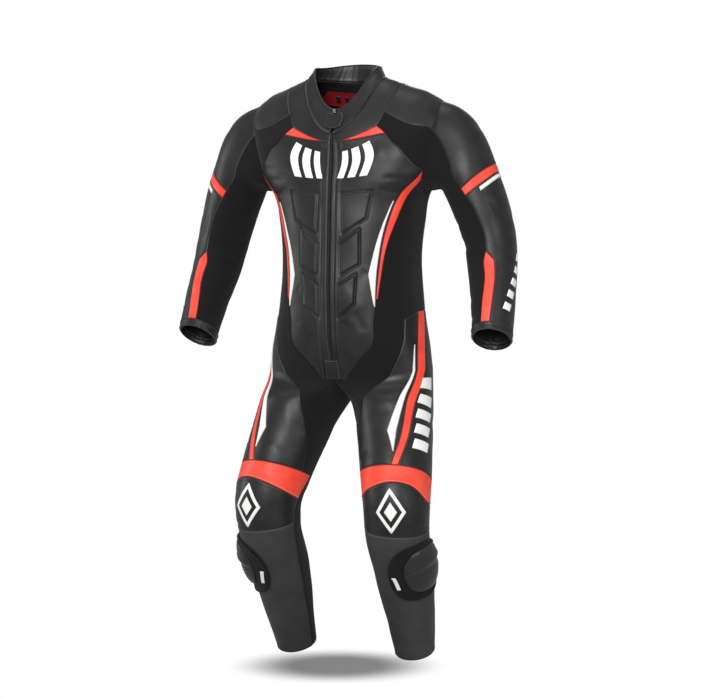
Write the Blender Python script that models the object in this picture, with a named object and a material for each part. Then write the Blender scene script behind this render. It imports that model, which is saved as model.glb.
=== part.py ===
"""One-piece motorcycle race suit, filled out with no wearer in it.

Metres, +Z up. The suit faces -Y and is the same on both sides of X = 0.
The origin is between the shoulders, at the height of the neck, where the
wearer carries it.

The cloth lies on three curved charts, each a function of s and a:

    torso  s runs up from the hips (-0.65) to the neckline (0)
    arm    s runs down from the armhole (0) to the wrist
    leg    s runs down from the hip ring (0) to the ankle, and above 0 it
           goes on up the torso, so a thigh panel can reach the waist

a is an angle in degrees, 0 at the front and 90 at the outer side. Every
panel is a patch of a chart between four seams, and its wall goes inwards
from there.
"""
import bmesh
import bpy
import numpy as np

# ---------------------------------------------------------------- sizes

LEATHER = 0.0020            # wall of a leather panel with its lining
STRETCH = 0.0016            # wall of a stretch panel
TRIM = 0.0010               # wall of an inlay that is sewn on top
SEAM = 0.0003               # gap between two panels
ON_TOP = 0.0006             # gap between a panel and what lies on it

HIP = -0.65                 # s of the ring where the legs begin
ZIP_HALF = 0.0045           # half the width of the zip between the fronts
ZIP_END = -0.625            # s of the lower end of the zip
PATCH_HALF = 0.017          # half the width of the patch at the zip's end
CUFF = 0.018                # length of the band round the wrist

LEATHER_BLACK = (0.034, 0.034, 0.032)
STRETCH_BLACK = (0.018, 0.018, 0.018)
RED = (0.975, 0.080, 0.055)
WHITE = (0.93, 0.93, 0.93)
RUBBER_BLACK = (0.025, 0.025, 0.026)


def table(columns, rows):
    """A short table as a dictionary of columns."""
    return dict(zip(columns.split(), np.array(rows, float).T))


# Rings of the torso: height at the front, side and back, half width, depth
# before and behind the middle, the middle's y, and how square the ring is.
TORSO = table("s z_front z_side z_back wide front back mid square", [
    (-0.650, -0.675, -0.645, -0.665, 0.204, 0.094, 0.125, -0.010, 2.3),
    (-0.590, -0.600, -0.590, -0.590, 0.193, 0.126, 0.125, -0.002, 2.3),
    (-0.500, -0.500, -0.500, -0.500, 0.177, 0.145, 0.112,  0.006, 2.3),
    (-0.390, -0.390, -0.390, -0.390, 0.169, 0.145, 0.108,  0.008, 2.3),
    (-0.300, -0.300, -0.300, -0.300, 0.175, 0.140, 0.118,  0.006, 2.4),
    (-0.240, -0.240, -0.235, -0.235, 0.188, 0.133, 0.126,  0.003, 2.5),
    (-0.190, -0.205, -0.170, -0.175, 0.222, 0.127, 0.128,  0.000, 2.6),
    (-0.140, -0.170, -0.045, -0.110, 0.250, 0.120, 0.121, -0.002, 2.4),
    (-0.095, -0.142, -0.002, -0.055, 0.214, 0.112, 0.110, -0.008, 2.2),
    (-0.045, -0.115,  0.022, -0.005, 0.152, 0.100, 0.099, -0.020, 2.1),
    ( 0.000, -0.088,  0.042,  0.036, 0.098, 0.084, 0.086, -0.032, 2.0),
])

# Rings of a sleeve: centre, half width, half depth, and the ring's lean.
ARM = table("s x y z wide front back turn lean", [
    (0.150, 0.303,  0.006, -0.205, 0.069, 0.070, 0.070, 0,  0),
    (0.220, 0.328,  0.010, -0.270, 0.066, 0.068, 0.068, 0,  0),
    (0.300, 0.349,  0.012, -0.345, 0.062, 0.063, 0.063, 0,  0),
    (0.365, 0.360,  0.000, -0.405, 0.059, 0.059, 0.059, 0,  3),
    (0.450, 0.372, -0.028, -0.480, 0.053, 0.055, 0.055, 0,  7),
    (0.555, 0.383, -0.063, -0.575, 0.046, 0.050, 0.050, 0, 12),
])

# Rings of a leg: centre, depth before and behind it, half width, and how
# far the leg is turned out.
LEG = table("s x y z wide front back turn lean", [
    (0.090, 0.1280, -0.041, -0.765, 0.092, 0.098, 0.098,  2, 0),
    (0.160, 0.1420, -0.066, -0.828, 0.087, 0.094, 0.092,  6, 0),
    (0.235, 0.1560, -0.095, -0.898, 0.083, 0.090, 0.086, 10, 0),
    (0.310, 0.1655, -0.116, -0.965, 0.078, 0.084, 0.079, 14, 0),
    (0.370, 0.1660, -0.112, -1.025, 0.075, 0.077, 0.077, 15, 0),
    (0.460, 0.1635, -0.072, -1.110, 0.070, 0.068, 0.078, 15, 0),
    (0.545, 0.1610, -0.035, -1.190, 0.063, 0.060, 0.072, 15, 0),
    (0.610, 0.1590, -0.008, -1.250, 0.056, 0.055, 0.058, 15, 0),
    (0.690, 0.1560,  0.022, -1.325, 0.047, 0.049, 0.050, 15, 0),
])

ARMHOLE = dict(low=-0.232, high=-0.118, spread=28.0)    # on the torso chart
SLEEVE_HEAD = dict(top=1.25, side=0.90)                 # fullness over the shoulder
CROTCH = dict(turn=40.0, drop=0.028)                    # its part of the leg's top ring

# The tab that closes the collar and the label inside the neck, as stretches
# of s and a on the collar and the torso.
COLLAR_TAB = dict(s=(0.12, 0.75), a=(-12.0, 16.0))
NECK_LABEL = dict(s=(-0.062, -0.026), a=(172.0, 220.0))

# Top edge of the collar: half width, half depth, middle, and heights.
COLLAR = dict(wide=0.080, deep=0.072, mid=-0.022, front=-0.035, side=0.068, back=0.078)


# ---------------------------------------------------------------- curves

def along(tab, column, s):
    """Smooth curve through one column of a table, read at s."""
    key, val = tab["s"], tab[column]
    slope = np.gradient(val, key)
    s = np.clip(s, key[0], key[-1])
    i = np.clip(np.searchsorted(key, s, side="right") - 1, 0, len(key) - 2)
    h = key[i + 1] - key[i]
    return blend((s - key[i]) / h, val[i], h * slope[i], val[i + 1], h * slope[i + 1])


def blend(u, start, leave, end, arrive):
    """Hermite curve from start to end, with the two tangents, at u."""
    return ((2 * u**3 - 3 * u**2 + 1) * start + (u**3 - 2 * u**2 + u) * leave
            + (3 * u**2 - 2 * u**3) * end + (u**3 - u**2) * arrive)


def unit(v):
    return v / np.linalg.norm(v, axis=-1, keepdims=True)


def seam(steps, *points):
    """A smooth line through (s, a) points, cut into the given steps."""
    points = np.array(points, float)
    gaps = np.hypot(np.diff(points[:, 0]), np.diff(points[:, 1]) * 0.0015)
    far = np.concatenate([[0], np.cumsum(gaps)])
    tab = dict(s=far, p=points[:, 0], a=points[:, 1])
    at = np.linspace(0, far[-1], steps + 1)
    return np.stack([along(tab, "p", at), along(tab, "a", at)], -1)


def join(*lines):
    """Several seams end to end."""
    return np.concatenate([line[:-1] for line in lines[:-1]] + [lines[-1]])


def patch(bottom, top, left, right):
    """Grid of (s, a) between four seams (a Coons patch).

    bottom and top run from left to right, left and right from bottom to top.
    """
    u = np.linspace(0, 1, len(bottom))[None, :, None]
    w = np.linspace(0, 1, len(left))[:, None, None]
    flat = ((1 - w) * ((1 - u) * bottom[0] + u * bottom[-1])
            + w * ((1 - u) * top[0] + u * top[-1]))
    return ((1 - w) * bottom[None] + w * top[None]
            + (1 - u) * left[:, None] + u * right[:, None] - flat)


# ---------------------------------------------------------------- charts

def torso(s, a):
    """Point of the torso: a superellipse ring that dips or rises front and back."""
    s, a = np.broadcast_arrays(np.asarray(s, float), np.radians(a))
    sn, cs = np.sin(a), np.cos(a)
    n = along(TORSO, "square", s)
    k = (np.abs(sn)**n + np.abs(cs)**n) ** (-1 / n)
    front = cs > 0
    deep = np.where(front, along(TORSO, "front", s), along(TORSO, "back", s))
    z_end = np.where(front, along(TORSO, "z_front", s), along(TORSO, "z_back", s))
    z_side = along(TORSO, "z_side", s)
    return np.stack([along(TORSO, "wide", s) * sn * k,
                     along(TORSO, "mid", s) - deep * cs * k,
                     z_side + (z_end - z_side) * cs**2], -1)


def ring(tab, s, a):
    """Point of a limb's ring, square to its axis but for the ring's lean."""
    s, a = np.broadcast_arrays(np.asarray(s, float), np.asarray(a, float))

    def axis(at):
        at = np.clip(at, tab["s"][0], tab["s"][-1])
        return np.stack([along(tab, c, at) for c in "xyz"], -1)

    down = unit(axis(s + 0.01) - axis(s - 0.01))
    turn = np.radians(along(tab, "turn", s))
    out = np.stack([np.cos(turn), np.sin(turn), 0 * s], -1)
    out = unit(out - (out * down).sum(-1, keepdims=True) * down)
    fore = np.cross(down, out)
    lean = np.radians(along(tab, "lean", s))[..., None]
    fore = np.cos(lean) * fore - np.sin(lean) * down
    cs, sn = np.cos(np.radians(a))[..., None], np.sin(np.radians(a))[..., None]
    deep = np.where(cs > 0, along(tab, "front", s)[..., None], along(tab, "back", s)[..., None])
    return axis(s) + deep * cs * fore + along(tab, "wide", s)[..., None] * sn * out


def armhole(a):
    """The armhole as a line on the torso chart."""
    low, high = ARMHOLE["low"], ARMHOLE["high"]
    t = np.radians(a)
    return (low + high) / 2 + (high - low) / 2 * np.sin(t), 90 - ARMHOLE["spread"] * np.cos(t)


def arm(s, a):
    """Point of the sleeve: from the armhole, over its head, then ring by ring."""
    s, a = np.broadcast_arrays(np.asarray(s, float), np.asarray(a, float))
    first = ARM["s"][0]
    top = np.clip(np.sin(np.radians(a)), 0, 1)[..., None]
    start, end = torso(*armhole(a)), ring(ARM, first + 0 * s, a)
    chord = np.linalg.norm(end - start, axis=-1, keepdims=True)
    full = chord * (SLEEVE_HEAD["side"] + (SLEEVE_HEAD["top"] - SLEEVE_HEAD["side"]) * top)
    leave = unit(np.array([0.96, 0, -0.22]) * top + np.array([0.85, 0, -0.50]) * (1 - top))
    arrive = unit(ring(ARM, first + 0.02 + 0 * s, a) - end)
    head = blend(np.clip(s / first, 0, 1)[..., None], start, leave * full, end, arrive * full)
    return np.where((s < first)[..., None], head, ring(ARM, np.maximum(s, first), a))


def hip_angle(a):
    """Angle on the torso of the leg chart's angle a, outside the crotch."""
    return (a + CROTCH["turn"]) * 180 / (180 + 2 * CROTCH["turn"])


def leg_angle(t):
    """Angle on the leg chart of the torso's angle t."""
    return t * (180 + 2 * CROTCH["turn"]) / 180 - CROTCH["turn"]


def leg(s, a):
    """Point of the leg: torso above 0, then from the hip ring and crotch to the ankle."""
    s, a = np.broadcast_arrays(np.asarray(s, float), np.asarray(a, float))
    a = (a + 140) % 360 - 140
    turn, first = CROTCH["turn"], LEG["s"][0]
    inside = (a < -turn)[..., None]
    across = np.clip((-turn - a) / (180 - 2 * turn), 0, 1)[..., None]
    dip = np.sin(np.pi * across)
    front, back = torso(HIP, 0.0), torso(HIP, 180.0)
    crotch = front * (1 - across) + back * across - np.array([0, 0, CROTCH["drop"]]) * dip
    start = np.where(inside, crotch, torso(HIP + 0 * s, np.clip(hip_angle(a), 0, 180)))
    w = np.clip(np.cos(np.radians(a + 90) * 90 / 85), 0, 1)[..., None]
    leave = (np.array([0.60, 0, -0.52]) * w + np.array([0, 0, -1.0]) * (1 - w)) * first
    end = ring(LEG, first + 0 * s, a)
    arrive = (ring(LEG, first + 0.02 + 0 * s, a) - end) / 0.02 * first
    thigh = blend(np.clip(s / first, 0, 1)[..., None], start, leave, end, arrive)
    low = np.where((s < first)[..., None], thigh, ring(LEG, np.maximum(s, first), a))
    return np.where((s < 0)[..., None], torso(HIP - s, hip_angle(a)), low)


def collar(s, a):
    """Point of the standing collar: s from 0 at the neckline to 1 at its top."""
    s, a = np.broadcast_arrays(np.asarray(s, float), np.asarray(a, float))
    base = torso(0 * s, a)
    sn, cs = np.sin(np.radians(a)), np.cos(np.radians(a))
    z_end = np.where(cs > 0, COLLAR["front"], COLLAR["back"])
    top = np.stack([COLLAR["wide"] * sn, COLLAR["mid"] - COLLAR["deep"] * cs,
                    COLLAR["side"] + (z_end - COLLAR["side"]) * cs**2], -1)
    return base + (top - base) * s[..., None]


STEP = 1e-4
UPWARDS = {torso: True, collar: True, arm: False, leg: False}


def plain_normal(chart, s, a, low, high):
    """Outward normal of a chart, from differences that stay between two s."""
    ds = chart(np.minimum(s + STEP, high), a) - chart(np.maximum(s - STEP, low), a)
    da = chart(s, a + 0.05) - chart(s, a - 0.05)
    return unit(np.cross(da, ds) if UPWARDS[chart] else np.cross(ds, da))


def armhole_normal(a):
    """Shared normal of the torso and sleeve at the armhole."""
    s, t = armhole(a)
    return unit(plain_normal(torso, s, t, HIP, 0.0)
                + plain_normal(arm, 0 * s, a, 0.0, 1.0))


def hip_normal(a):
    """Shared normal at the top ring of a leg, level across at the crotch."""
    a = (np.asarray(a, float) + 140) % 360 - 140
    outside = plain_normal(leg, 0 * a, np.maximum(a, -CROTCH["turn"]), -1.0, 1.0)
    inside = unit(plain_normal(leg, 0 * a, a, 0.0, 1.0) * np.array([1e-6, 1, 1]))
    return np.where((a < -CROTCH["turn"] + 1e-6)[..., None], inside, outside)


def neck_normal(a):
    """Shared normal of the torso and collar at the neckline."""
    return unit(plain_normal(torso, 0 * a, a, HIP, 0.0) + plain_normal(collar, 0 * a, a, 0.0, 1.0))


def normal(chart, s, a):
    """Outward normal, the same from both sides where two charts meet."""
    if chart is collar:
        inner = plain_normal(collar, s, a, 0.0, 1.0)
        return np.where((s < 1e-6)[..., None], neck_normal(a), inner)
    if chart is arm:
        inner = plain_normal(arm, s, a, 0.0, 1.0)
        return np.where((s < 1e-6)[..., None], armhole_normal(a), inner)
    if chart is leg:
        inner = plain_normal(leg, s, a, -1.0, 1.0)
        return np.where((np.abs(s) < 1e-6)[..., None], hip_normal(a), inner)
    low, high = ARMHOLE["low"], ARMHOLE["high"]
    up = (s - (low + high) / 2) / ((high - low) / 2)
    side = np.abs((a - 90) / ARMHOLE["spread"])
    at_hole = np.abs(up**2 + side**2 - 1) < 1e-3
    hole = armhole_normal(np.degrees(np.arctan2(up, (90 - a) / ARMHOLE["spread"])))
    inner = plain_normal(torso, s, a, HIP, 0.0)
    inner = np.where(at_hole[..., None], hole, inner)
    inner = np.where((s > -1e-6)[..., None], neck_normal(a), inner)
    return np.where((s < HIP + 1e-6)[..., None], hip_normal(leg_angle(a)), inner)


# ---------------------------------------------------------------- walls

def mirrored(points):
    return points * np.array([-1.0, 1.0, 1.0])


def triangles(points, cols):
    """Triangles of a grid with so many columns, each square cut the shorter way."""
    index = np.arange(len(points)).reshape(-1, cols)
    a, b, c, d = (v.reshape(-1) for v in (index[:-1, :-1], index[:-1, 1:], index[1:, 1:], index[1:, :-1]))
    other = (np.linalg.norm(points[a] - points[c], axis=1)
             > np.linalg.norm(points[b] - points[d], axis=1) + 1e-6)[:, None]
    return np.concatenate([
        np.where(other, np.stack([a, b, d], -1), np.stack([a, b, c], -1)),
        np.where(other, np.stack([b, c, d], -1), np.stack([a, c, d], -1))])


def sheet(chart, patches, lift=0.0):
    """Points, outward normals and triangles of some patches of a chart, side by side."""
    points, normals, faces, count = [], [], [], 0
    for grid in patches:
        out = normal(chart, grid[..., 0], grid[..., 1])
        points.append((chart(grid[..., 0], grid[..., 1]) + out * lift).reshape(-1, 3))
        normals.append(out.reshape(-1, 3))
        faces.append(triangles(points[-1], grid.shape[1]) + count)
        count += len(points[-1])
    return np.concatenate(points), np.concatenate(normals), np.concatenate(faces)


def with_mirror(points, normals, faces):
    """A half sheet and its mirror image."""
    return (np.concatenate([points, mirrored(points)]),
            np.concatenate([normals, mirrored(normals)]),
            np.concatenate([faces, faces[:, ::-1] + len(points)]))


def welded(points, normals, faces):
    """The same sheet with the points that its patches share made one."""
    _, first, back = np.unique(np.round(points, 6), axis=0, return_index=True, return_inverse=True)
    faces = back.reshape(-1)[faces]
    real = (faces[:, 0] != faces[:, 1]) & (faces[:, 1] != faces[:, 2]) & (faces[:, 2] != faces[:, 0])
    return points[first], normals[first], faces[real]


def border(faces):
    """Edges with a face on one side only, each with that face on its left."""
    edges = np.concatenate([faces[:, [0, 1]], faces[:, [1, 2]], faces[:, [2, 0]]])
    known = {(i, j) for i, j in edges.tolist()}
    return np.array([(i, j) for i, j in edges.tolist() if (j, i) not in known])


def drawn_in(points, normals, edges, by):
    """The sheet's points with its border moved in, square to each edge, by half a seam."""
    start, end = edges[:, 0], edges[:, 1]
    left = unit(np.cross(normals[start] + normals[end], points[end] - points[start]))
    after, before = np.zeros_like(points), np.zeros_like(points)
    after[start], before[end] = left, left
    meet = np.clip(1 + (after * before).sum(-1, keepdims=True), 0.35, 2)
    return points + (after + before) / meet * by


def material(name, colour, roughness, metallic=0.0):
    mat = bpy.data.materials.new(name)
    mat.use_nodes = True
    shader = mat.node_tree.nodes["Principled BSDF"]
    shader.inputs["Base Color"].default_value = (*colour, 1.0)
    shader.inputs["Roughness"].default_value = roughness
    shader.inputs["Metallic"].default_value = metallic
    mat.diffuse_color = (*colour, 1.0)
    return mat


def solid(name, outer, inner, faces, edges, mat):
    """Closed wall between an outer and an inner skin with the same faces.

    Each square of the rim is cut from the lower end of its outer edge, so
    that the rims of two neighbours match.
    """
    more = len(outer)
    i, j = edges[:, 0], edges[:, 1]
    falls = (outer[i, 2] > outer[j, 2])[:, None]
    rim = np.concatenate([
        np.where(falls, np.stack([j, i, i + more], -1), np.stack([i, i + more, j + more], -1)),
        np.where(falls, np.stack([j, i + more, j + more], -1), np.stack([i, j + more, j], -1))])
    every = np.concatenate([faces, faces[:, ::-1] + more, rim])
    mesh = bpy.data.meshes.new(name)
    mesh.from_pydata(np.concatenate([outer, inner]).tolist(), [], every.tolist())
    return finish(name, mesh, mat)


def finish(name, mesh, mat):
    """Face the mesh outwards, give it its material and put it in the scene."""
    shape = bmesh.new()
    shape.from_mesh(mesh)
    bmesh.ops.recalc_face_normals(shape, faces=shape.faces)
    if shape.calc_volume(signed=True) < 0:
        bmesh.ops.reverse_faces(shape, faces=shape.faces)
    shape.to_mesh(mesh)
    shape.free()
    mesh.materials.append(mat)
    obj = bpy.data.objects.new(name, mesh)
    bpy.context.scene.collection.objects.link(obj)
    return obj


def panel(name, chart, patches, mat, wall, lift=0.0, sides="pair"):
    """A panel made of one or more patches of a chart.

    sides is pair for a left and a right piece, whole for one piece over
    the middle, and one for a single piece.
    """
    cut = sheet(chart, patches, lift)
    piece(name, with_mirror(*cut) if sides == "whole" else cut, mat, wall, sides)


def piece(name, cut, mat, wall, sides="pair"):
    """Wall of a cut sheet, half a seam in from its border all round."""
    points, normals, faces = welded(*cut)
    edges = border(faces)
    outer = drawn_in(points, normals, edges, SEAM / 2)
    inner = outer - normals * wall
    if sides == "pair":
        solid(name + "_left", outer, inner, faces, edges, mat)
        solid(name + "_right", mirrored(outer), mirrored(inner), faces[:, ::-1], edges[:, ::-1], mat)
    else:
        solid(name, outer, inner, faces, edges, mat)


def laid_on(chart, grid, rows, edges, steps, lift):
    """A strip that lies on a panel, made from the panel's own points.

    rows are the panel's rows that it crosses. edges are two tables of
    (s, a), its left and right side; steps is its number of columns.
    """
    s, a = grid[..., 0], grid[..., 1]
    out = normal(chart, s, a)
    flat = chart(s, a)
    columns = np.arange(grid.shape[1])
    points, normals = [], []
    for row in rows:
        at = []
        for side in edges:
            order = np.argsort(side[:, 0])
            place = columns.mean()
            for _ in range(6):
                here = np.interp(place, columns, s[row])
                place = np.interp(np.interp(here, side[order, 0], side[order, 1]), a[row], columns)
            at.append(place)
        across = np.linspace(at[0], at[1], steps + 1)
        pick = lambda v: np.stack([np.interp(across, columns, v[row, :, k]) for k in range(3)], -1)
        normals.append(unit(pick(out)))
        points.append(pick(flat) + normals[-1] * lift)
    points = np.concatenate(points)
    return points, np.concatenate(normals), triangles(points, steps + 1)


def laid_across(chart, grid, columns, width, below, lift):
    """A strip along the top of a panel, from one of its columns to another.

    width is the strip's width and below its distance from the panel's edge.
    """
    out = normal(chart, grid[..., 0], grid[..., 1])
    flat = chart(grid[..., 0], grid[..., 1])
    lines, normals = [], []
    for column in columns:
        line = flat[::-1, column]
        far = np.concatenate([[0], np.cumsum(np.linalg.norm(np.diff(line, axis=0), axis=1))])
        at = np.array([below + width, below])
        pick = lambda v: np.stack([np.interp(at, far, v[:, k]) for k in range(3)], -1)
        normals.append(unit(pick(out[::-1, column])))
        lines.append(pick(line) + normals[-1] * lift)
    points = np.stack(lines, 1).reshape(-1, 3)
    return points, np.stack(normals, 1).reshape(-1, 3), triangles(points, len(lines))


# ---------------------------------------------------------------- seams

def zip_angle(s):
    return np.degrees(ZIP_HALF / along(TORSO, "wide", s))


def hole_seam(steps, start, end):
    """A stretch of the armhole between two of its angles, as torso (s, a)."""
    return np.stack(armhole(np.linspace(start, end, steps + 1)), -1)


def level(steps, s, start, end):
    """A straight seam at one s."""
    a = np.linspace(start, end, steps + 1)
    return np.stack([s + 0 * a, a], -1)


def oblong(rows, cols, s, a):
    """Grid of (s, a) over a stretch of each."""
    return np.stack(np.meshgrid(np.linspace(*s, rows + 1), np.linspace(*a, cols + 1), indexing="ij"), -1)


def torso_side(line):
    """A seam of the leg chart, as a seam of the torso chart."""
    return np.stack([HIP - line[:, 0], hip_angle(line[:, 1])], -1)


# Places on the armhole, as its angles.
FRONT_HOLE, STRIPE_HOLE, SIDE_HOLE, BACK_HOLE, REAR_HOLE = 24, -18, -36, -130, -204

# Corners of the torso's panels, as (s, a).
WING_TIP, WING_TOP, WING_LOW = (-0.0405, 9.0), (-0.065, 36.5), (-0.095, 36.0)
SHOULDER_FRONT, SHOULDER_BACK, NECK_BACK = (-0.053, 48.0), (-0.045, 130.0), (-0.045, 180.0)
STRIPE_END_IN, STRIPE_END_OUT = (-0.484, 38.0), (-0.484, 39.4)
FRONT_TIP = (HIP, 8.0)

# Corners of the leg's panels, as (s, a) on the leg chart.
TONGUE_IN, TONGUE_OUT, STRIPE_TOP, WAIST_BACK = (-0.120, 49.5), (-0.138, 78.0), (-0.140, 102.0), (-0.140, 122.0)
THIGH_HIP, OUTER_HIP = (0.0, 17.0), (0.0, 128.0)
BAND_IN, BAND_THIGH, BAND_STRIPE_IN, BAND_STRIPE_OUT, BAND_OUT = -108.0, -84.0, 4.0, 16.0, 128.0
BAND_LOW_IN, BAND_LOW_OUT = (0.297, -100.2), (0.312, 128.0)
KNEE_LOW_IN, KNEE_LOW_OUT = (0.358, -93.2), (0.372, 127.3)
HEM_IN, HEM_OUT = (0.690, -92.0), (0.690, 124.0)


def torso_point(place):
    """A place of the leg chart as (s, a) on the torso chart."""
    return HIP - place[0], float(hip_angle(place[1]))


WAIST_SIDE = torso_point(WAIST_BACK)


def band_top(a):
    return 0.2355 + 0.000113 * a


def on_band(steps, start, end):
    a = np.linspace(start, end, steps + 1)
    return np.stack([band_top(a), a], -1)


def band_point(a):
    return float(band_top(a)), a


def hole_point(a):
    return tuple(float(v) for v in armhole(a))


def with_start(line):
    """A seam with one more point near its start, where a pointed piece begins."""
    return np.insert(line, 1, line[0] + (line[1] - line[0]) * 0.12, axis=0)


def torso_seams():
    """Seams of the torso's +X half, from the bottom up or from the front back."""
    yoke_foot = (-0.036, float(zip_angle(-0.036)))
    zip_s = np.linspace(HIP, yoke_foot[0], 12)
    return dict(
        zip_edge=np.stack([zip_s, zip_angle(zip_s)], -1),
        front_foot=level(8, HIP, float(zip_angle(HIP)), FRONT_TIP[1]),
        vee=seam(3, FRONT_TIP, (-0.61, 21), (-0.59, 29), (-0.529, 34.5), STRIPE_END_IN),
        stripe_in=seam(8, STRIPE_END_IN, (-0.432, 40.5), (-0.368, 43.3), (-0.298, 47.5),
                       (-0.257, 51.5), (-0.222, 56.5), hole_point(STRIPE_HOLE)),
        stripe_out=seam(8, STRIPE_END_OUT, (-0.432, 43), (-0.368, 47), (-0.301, 54),
                        (-0.262, 59), (-0.232, 63.5), hole_point(SIDE_HOLE)),
        chest=seam(4, WING_LOW, (-0.134, 36.5), (-0.169, 46), (-0.184, 55), hole_point(STRIPE_HOLE)),
        wing_low=with_start(seam(2, WING_TIP, (-0.068, 24), WING_LOW)),
        wing_top=with_start(seam(2, WING_TIP, (-0.052, 24), WING_TOP)),
        wing_side=seam(1, WING_TOP, WING_LOW),
        yoke_zip=seam(1, yoke_foot, WING_TIP),
        yoke_gusset=seam(3, WING_TOP, SHOULDER_FRONT),
        yoke_shoulder=seam(5, SHOULDER_FRONT, (-0.041, 77), (-0.040, 105), SHOULDER_BACK),
        yoke_back=seam(4, SHOULDER_BACK, NECK_BACK),
        neckline=level(16, 0.0, float(zip_angle(0.0)), 180),
        shoulder_front=seam(5, SHOULDER_FRONT, (-0.095, 48), (-0.125, 52), hole_point(FRONT_HOLE)),
        shoulder_back=seam(5, SHOULDER_BACK, (-0.095, 126), hole_point(180 - FRONT_HOLE)),
        hole_gusset=hole_seam(3, STRIPE_HOLE, FRONT_HOLE),
        hole_stripe=hole_seam(1, STRIPE_HOLE, SIDE_HOLE),
        hole_side=hole_seam(5, SIDE_HOLE, BACK_HOLE),
        hole_back=hole_seam(3, BACK_HOLE, REAR_HOLE),
        hole_top=hole_seam(5, FRONT_HOLE, 180 - FRONT_HOLE),
        side_back=seam(8, WAIST_SIDE, (-0.40, 110), (-0.30, 109), hole_point(BACK_HOLE)),
        side_fold=seam(2, STRIPE_END_OUT, torso_point(TONGUE_IN)),
        hip_front=level(2, HIP, FRONT_TIP[1], float(hip_angle(THIGH_HIP[1]))),
        hip_back=level(4, HIP, float(hip_angle(OUTER_HIP[1])), 180),
        waist_back=level(4, WAIST_SIDE[0], WAIST_SIDE[1], 180),
    )


def leg_seams():
    """Seams of the +X leg, from the top down or from the inner side out."""
    band_in, band_out = band_point(BAND_IN), band_point(BAND_OUT)
    return dict(
        tongue=seam(1, TONGUE_IN, TONGUE_OUT),
        stripe_top=seam(1, TONGUE_OUT, STRIPE_TOP),
        outer_top=seam(1, STRIPE_TOP, WAIST_BACK),
        thigh_hip=seam(3, TONGUE_IN, (-0.103, 47.4), (-0.073, 43.0), (-0.040, 33), THIGH_HIP),
        thigh_in=seam(6, THIGH_HIP, (0.030, -4), (0.066, -24), (0.110, -46), (0.168, -70),
                      band_point(BAND_THIGH)),
        stripe_in=seam(9, TONGUE_OUT, (0.0, 55), (0.081, 40), (0.187, 20), band_point(BAND_STRIPE_IN)),
        stripe_out=seam(9, STRIPE_TOP, (0.0, 74), (0.078, 54), (0.187, 32), band_point(BAND_STRIPE_OUT)),
        outer_hip=seam(3, WAIST_BACK, OUTER_HIP),
        outer_back=seam(6, OUTER_HIP, (0.12, 130), band_out),
        outer_low=join(seam(1, band_out, BAND_LOW_OUT), seam(1, BAND_LOW_OUT, KNEE_LOW_OUT),
                       seam(5, KNEE_LOW_OUT, (0.45, 126), HEM_OUT)),
        inner_back=seam(6, (0.0, -140), (0.12, -128), band_in),
        inner_low=join(seam(1, band_in, BAND_LOW_IN), seam(1, BAND_LOW_IN, KNEE_LOW_IN),
                       seam(5, KNEE_LOW_IN, (0.45, -88), HEM_IN)),
        hip_inside=join(level(6, 0.0, -140, -40), level(1, 0.0, -40, float(leg_angle(FRONT_TIP[1]))),
                        level(2, 0.0, float(leg_angle(FRONT_TIP[1])), THIGH_HIP[1])),
        hip_back=level(4, 0.0, OUTER_HIP[1], 220),
        band_low=seam(9, BAND_LOW_IN, (0.281, -34), (0.276, 2), (0.281, 34), (0.307, 80), BAND_LOW_OUT),
        knee_low=seam(9, KNEE_LOW_IN, (0.362, -50), (0.366, 10), (0.371, 64), KNEE_LOW_OUT),
    )


# ---------------------------------------------------------------- pieces

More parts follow.
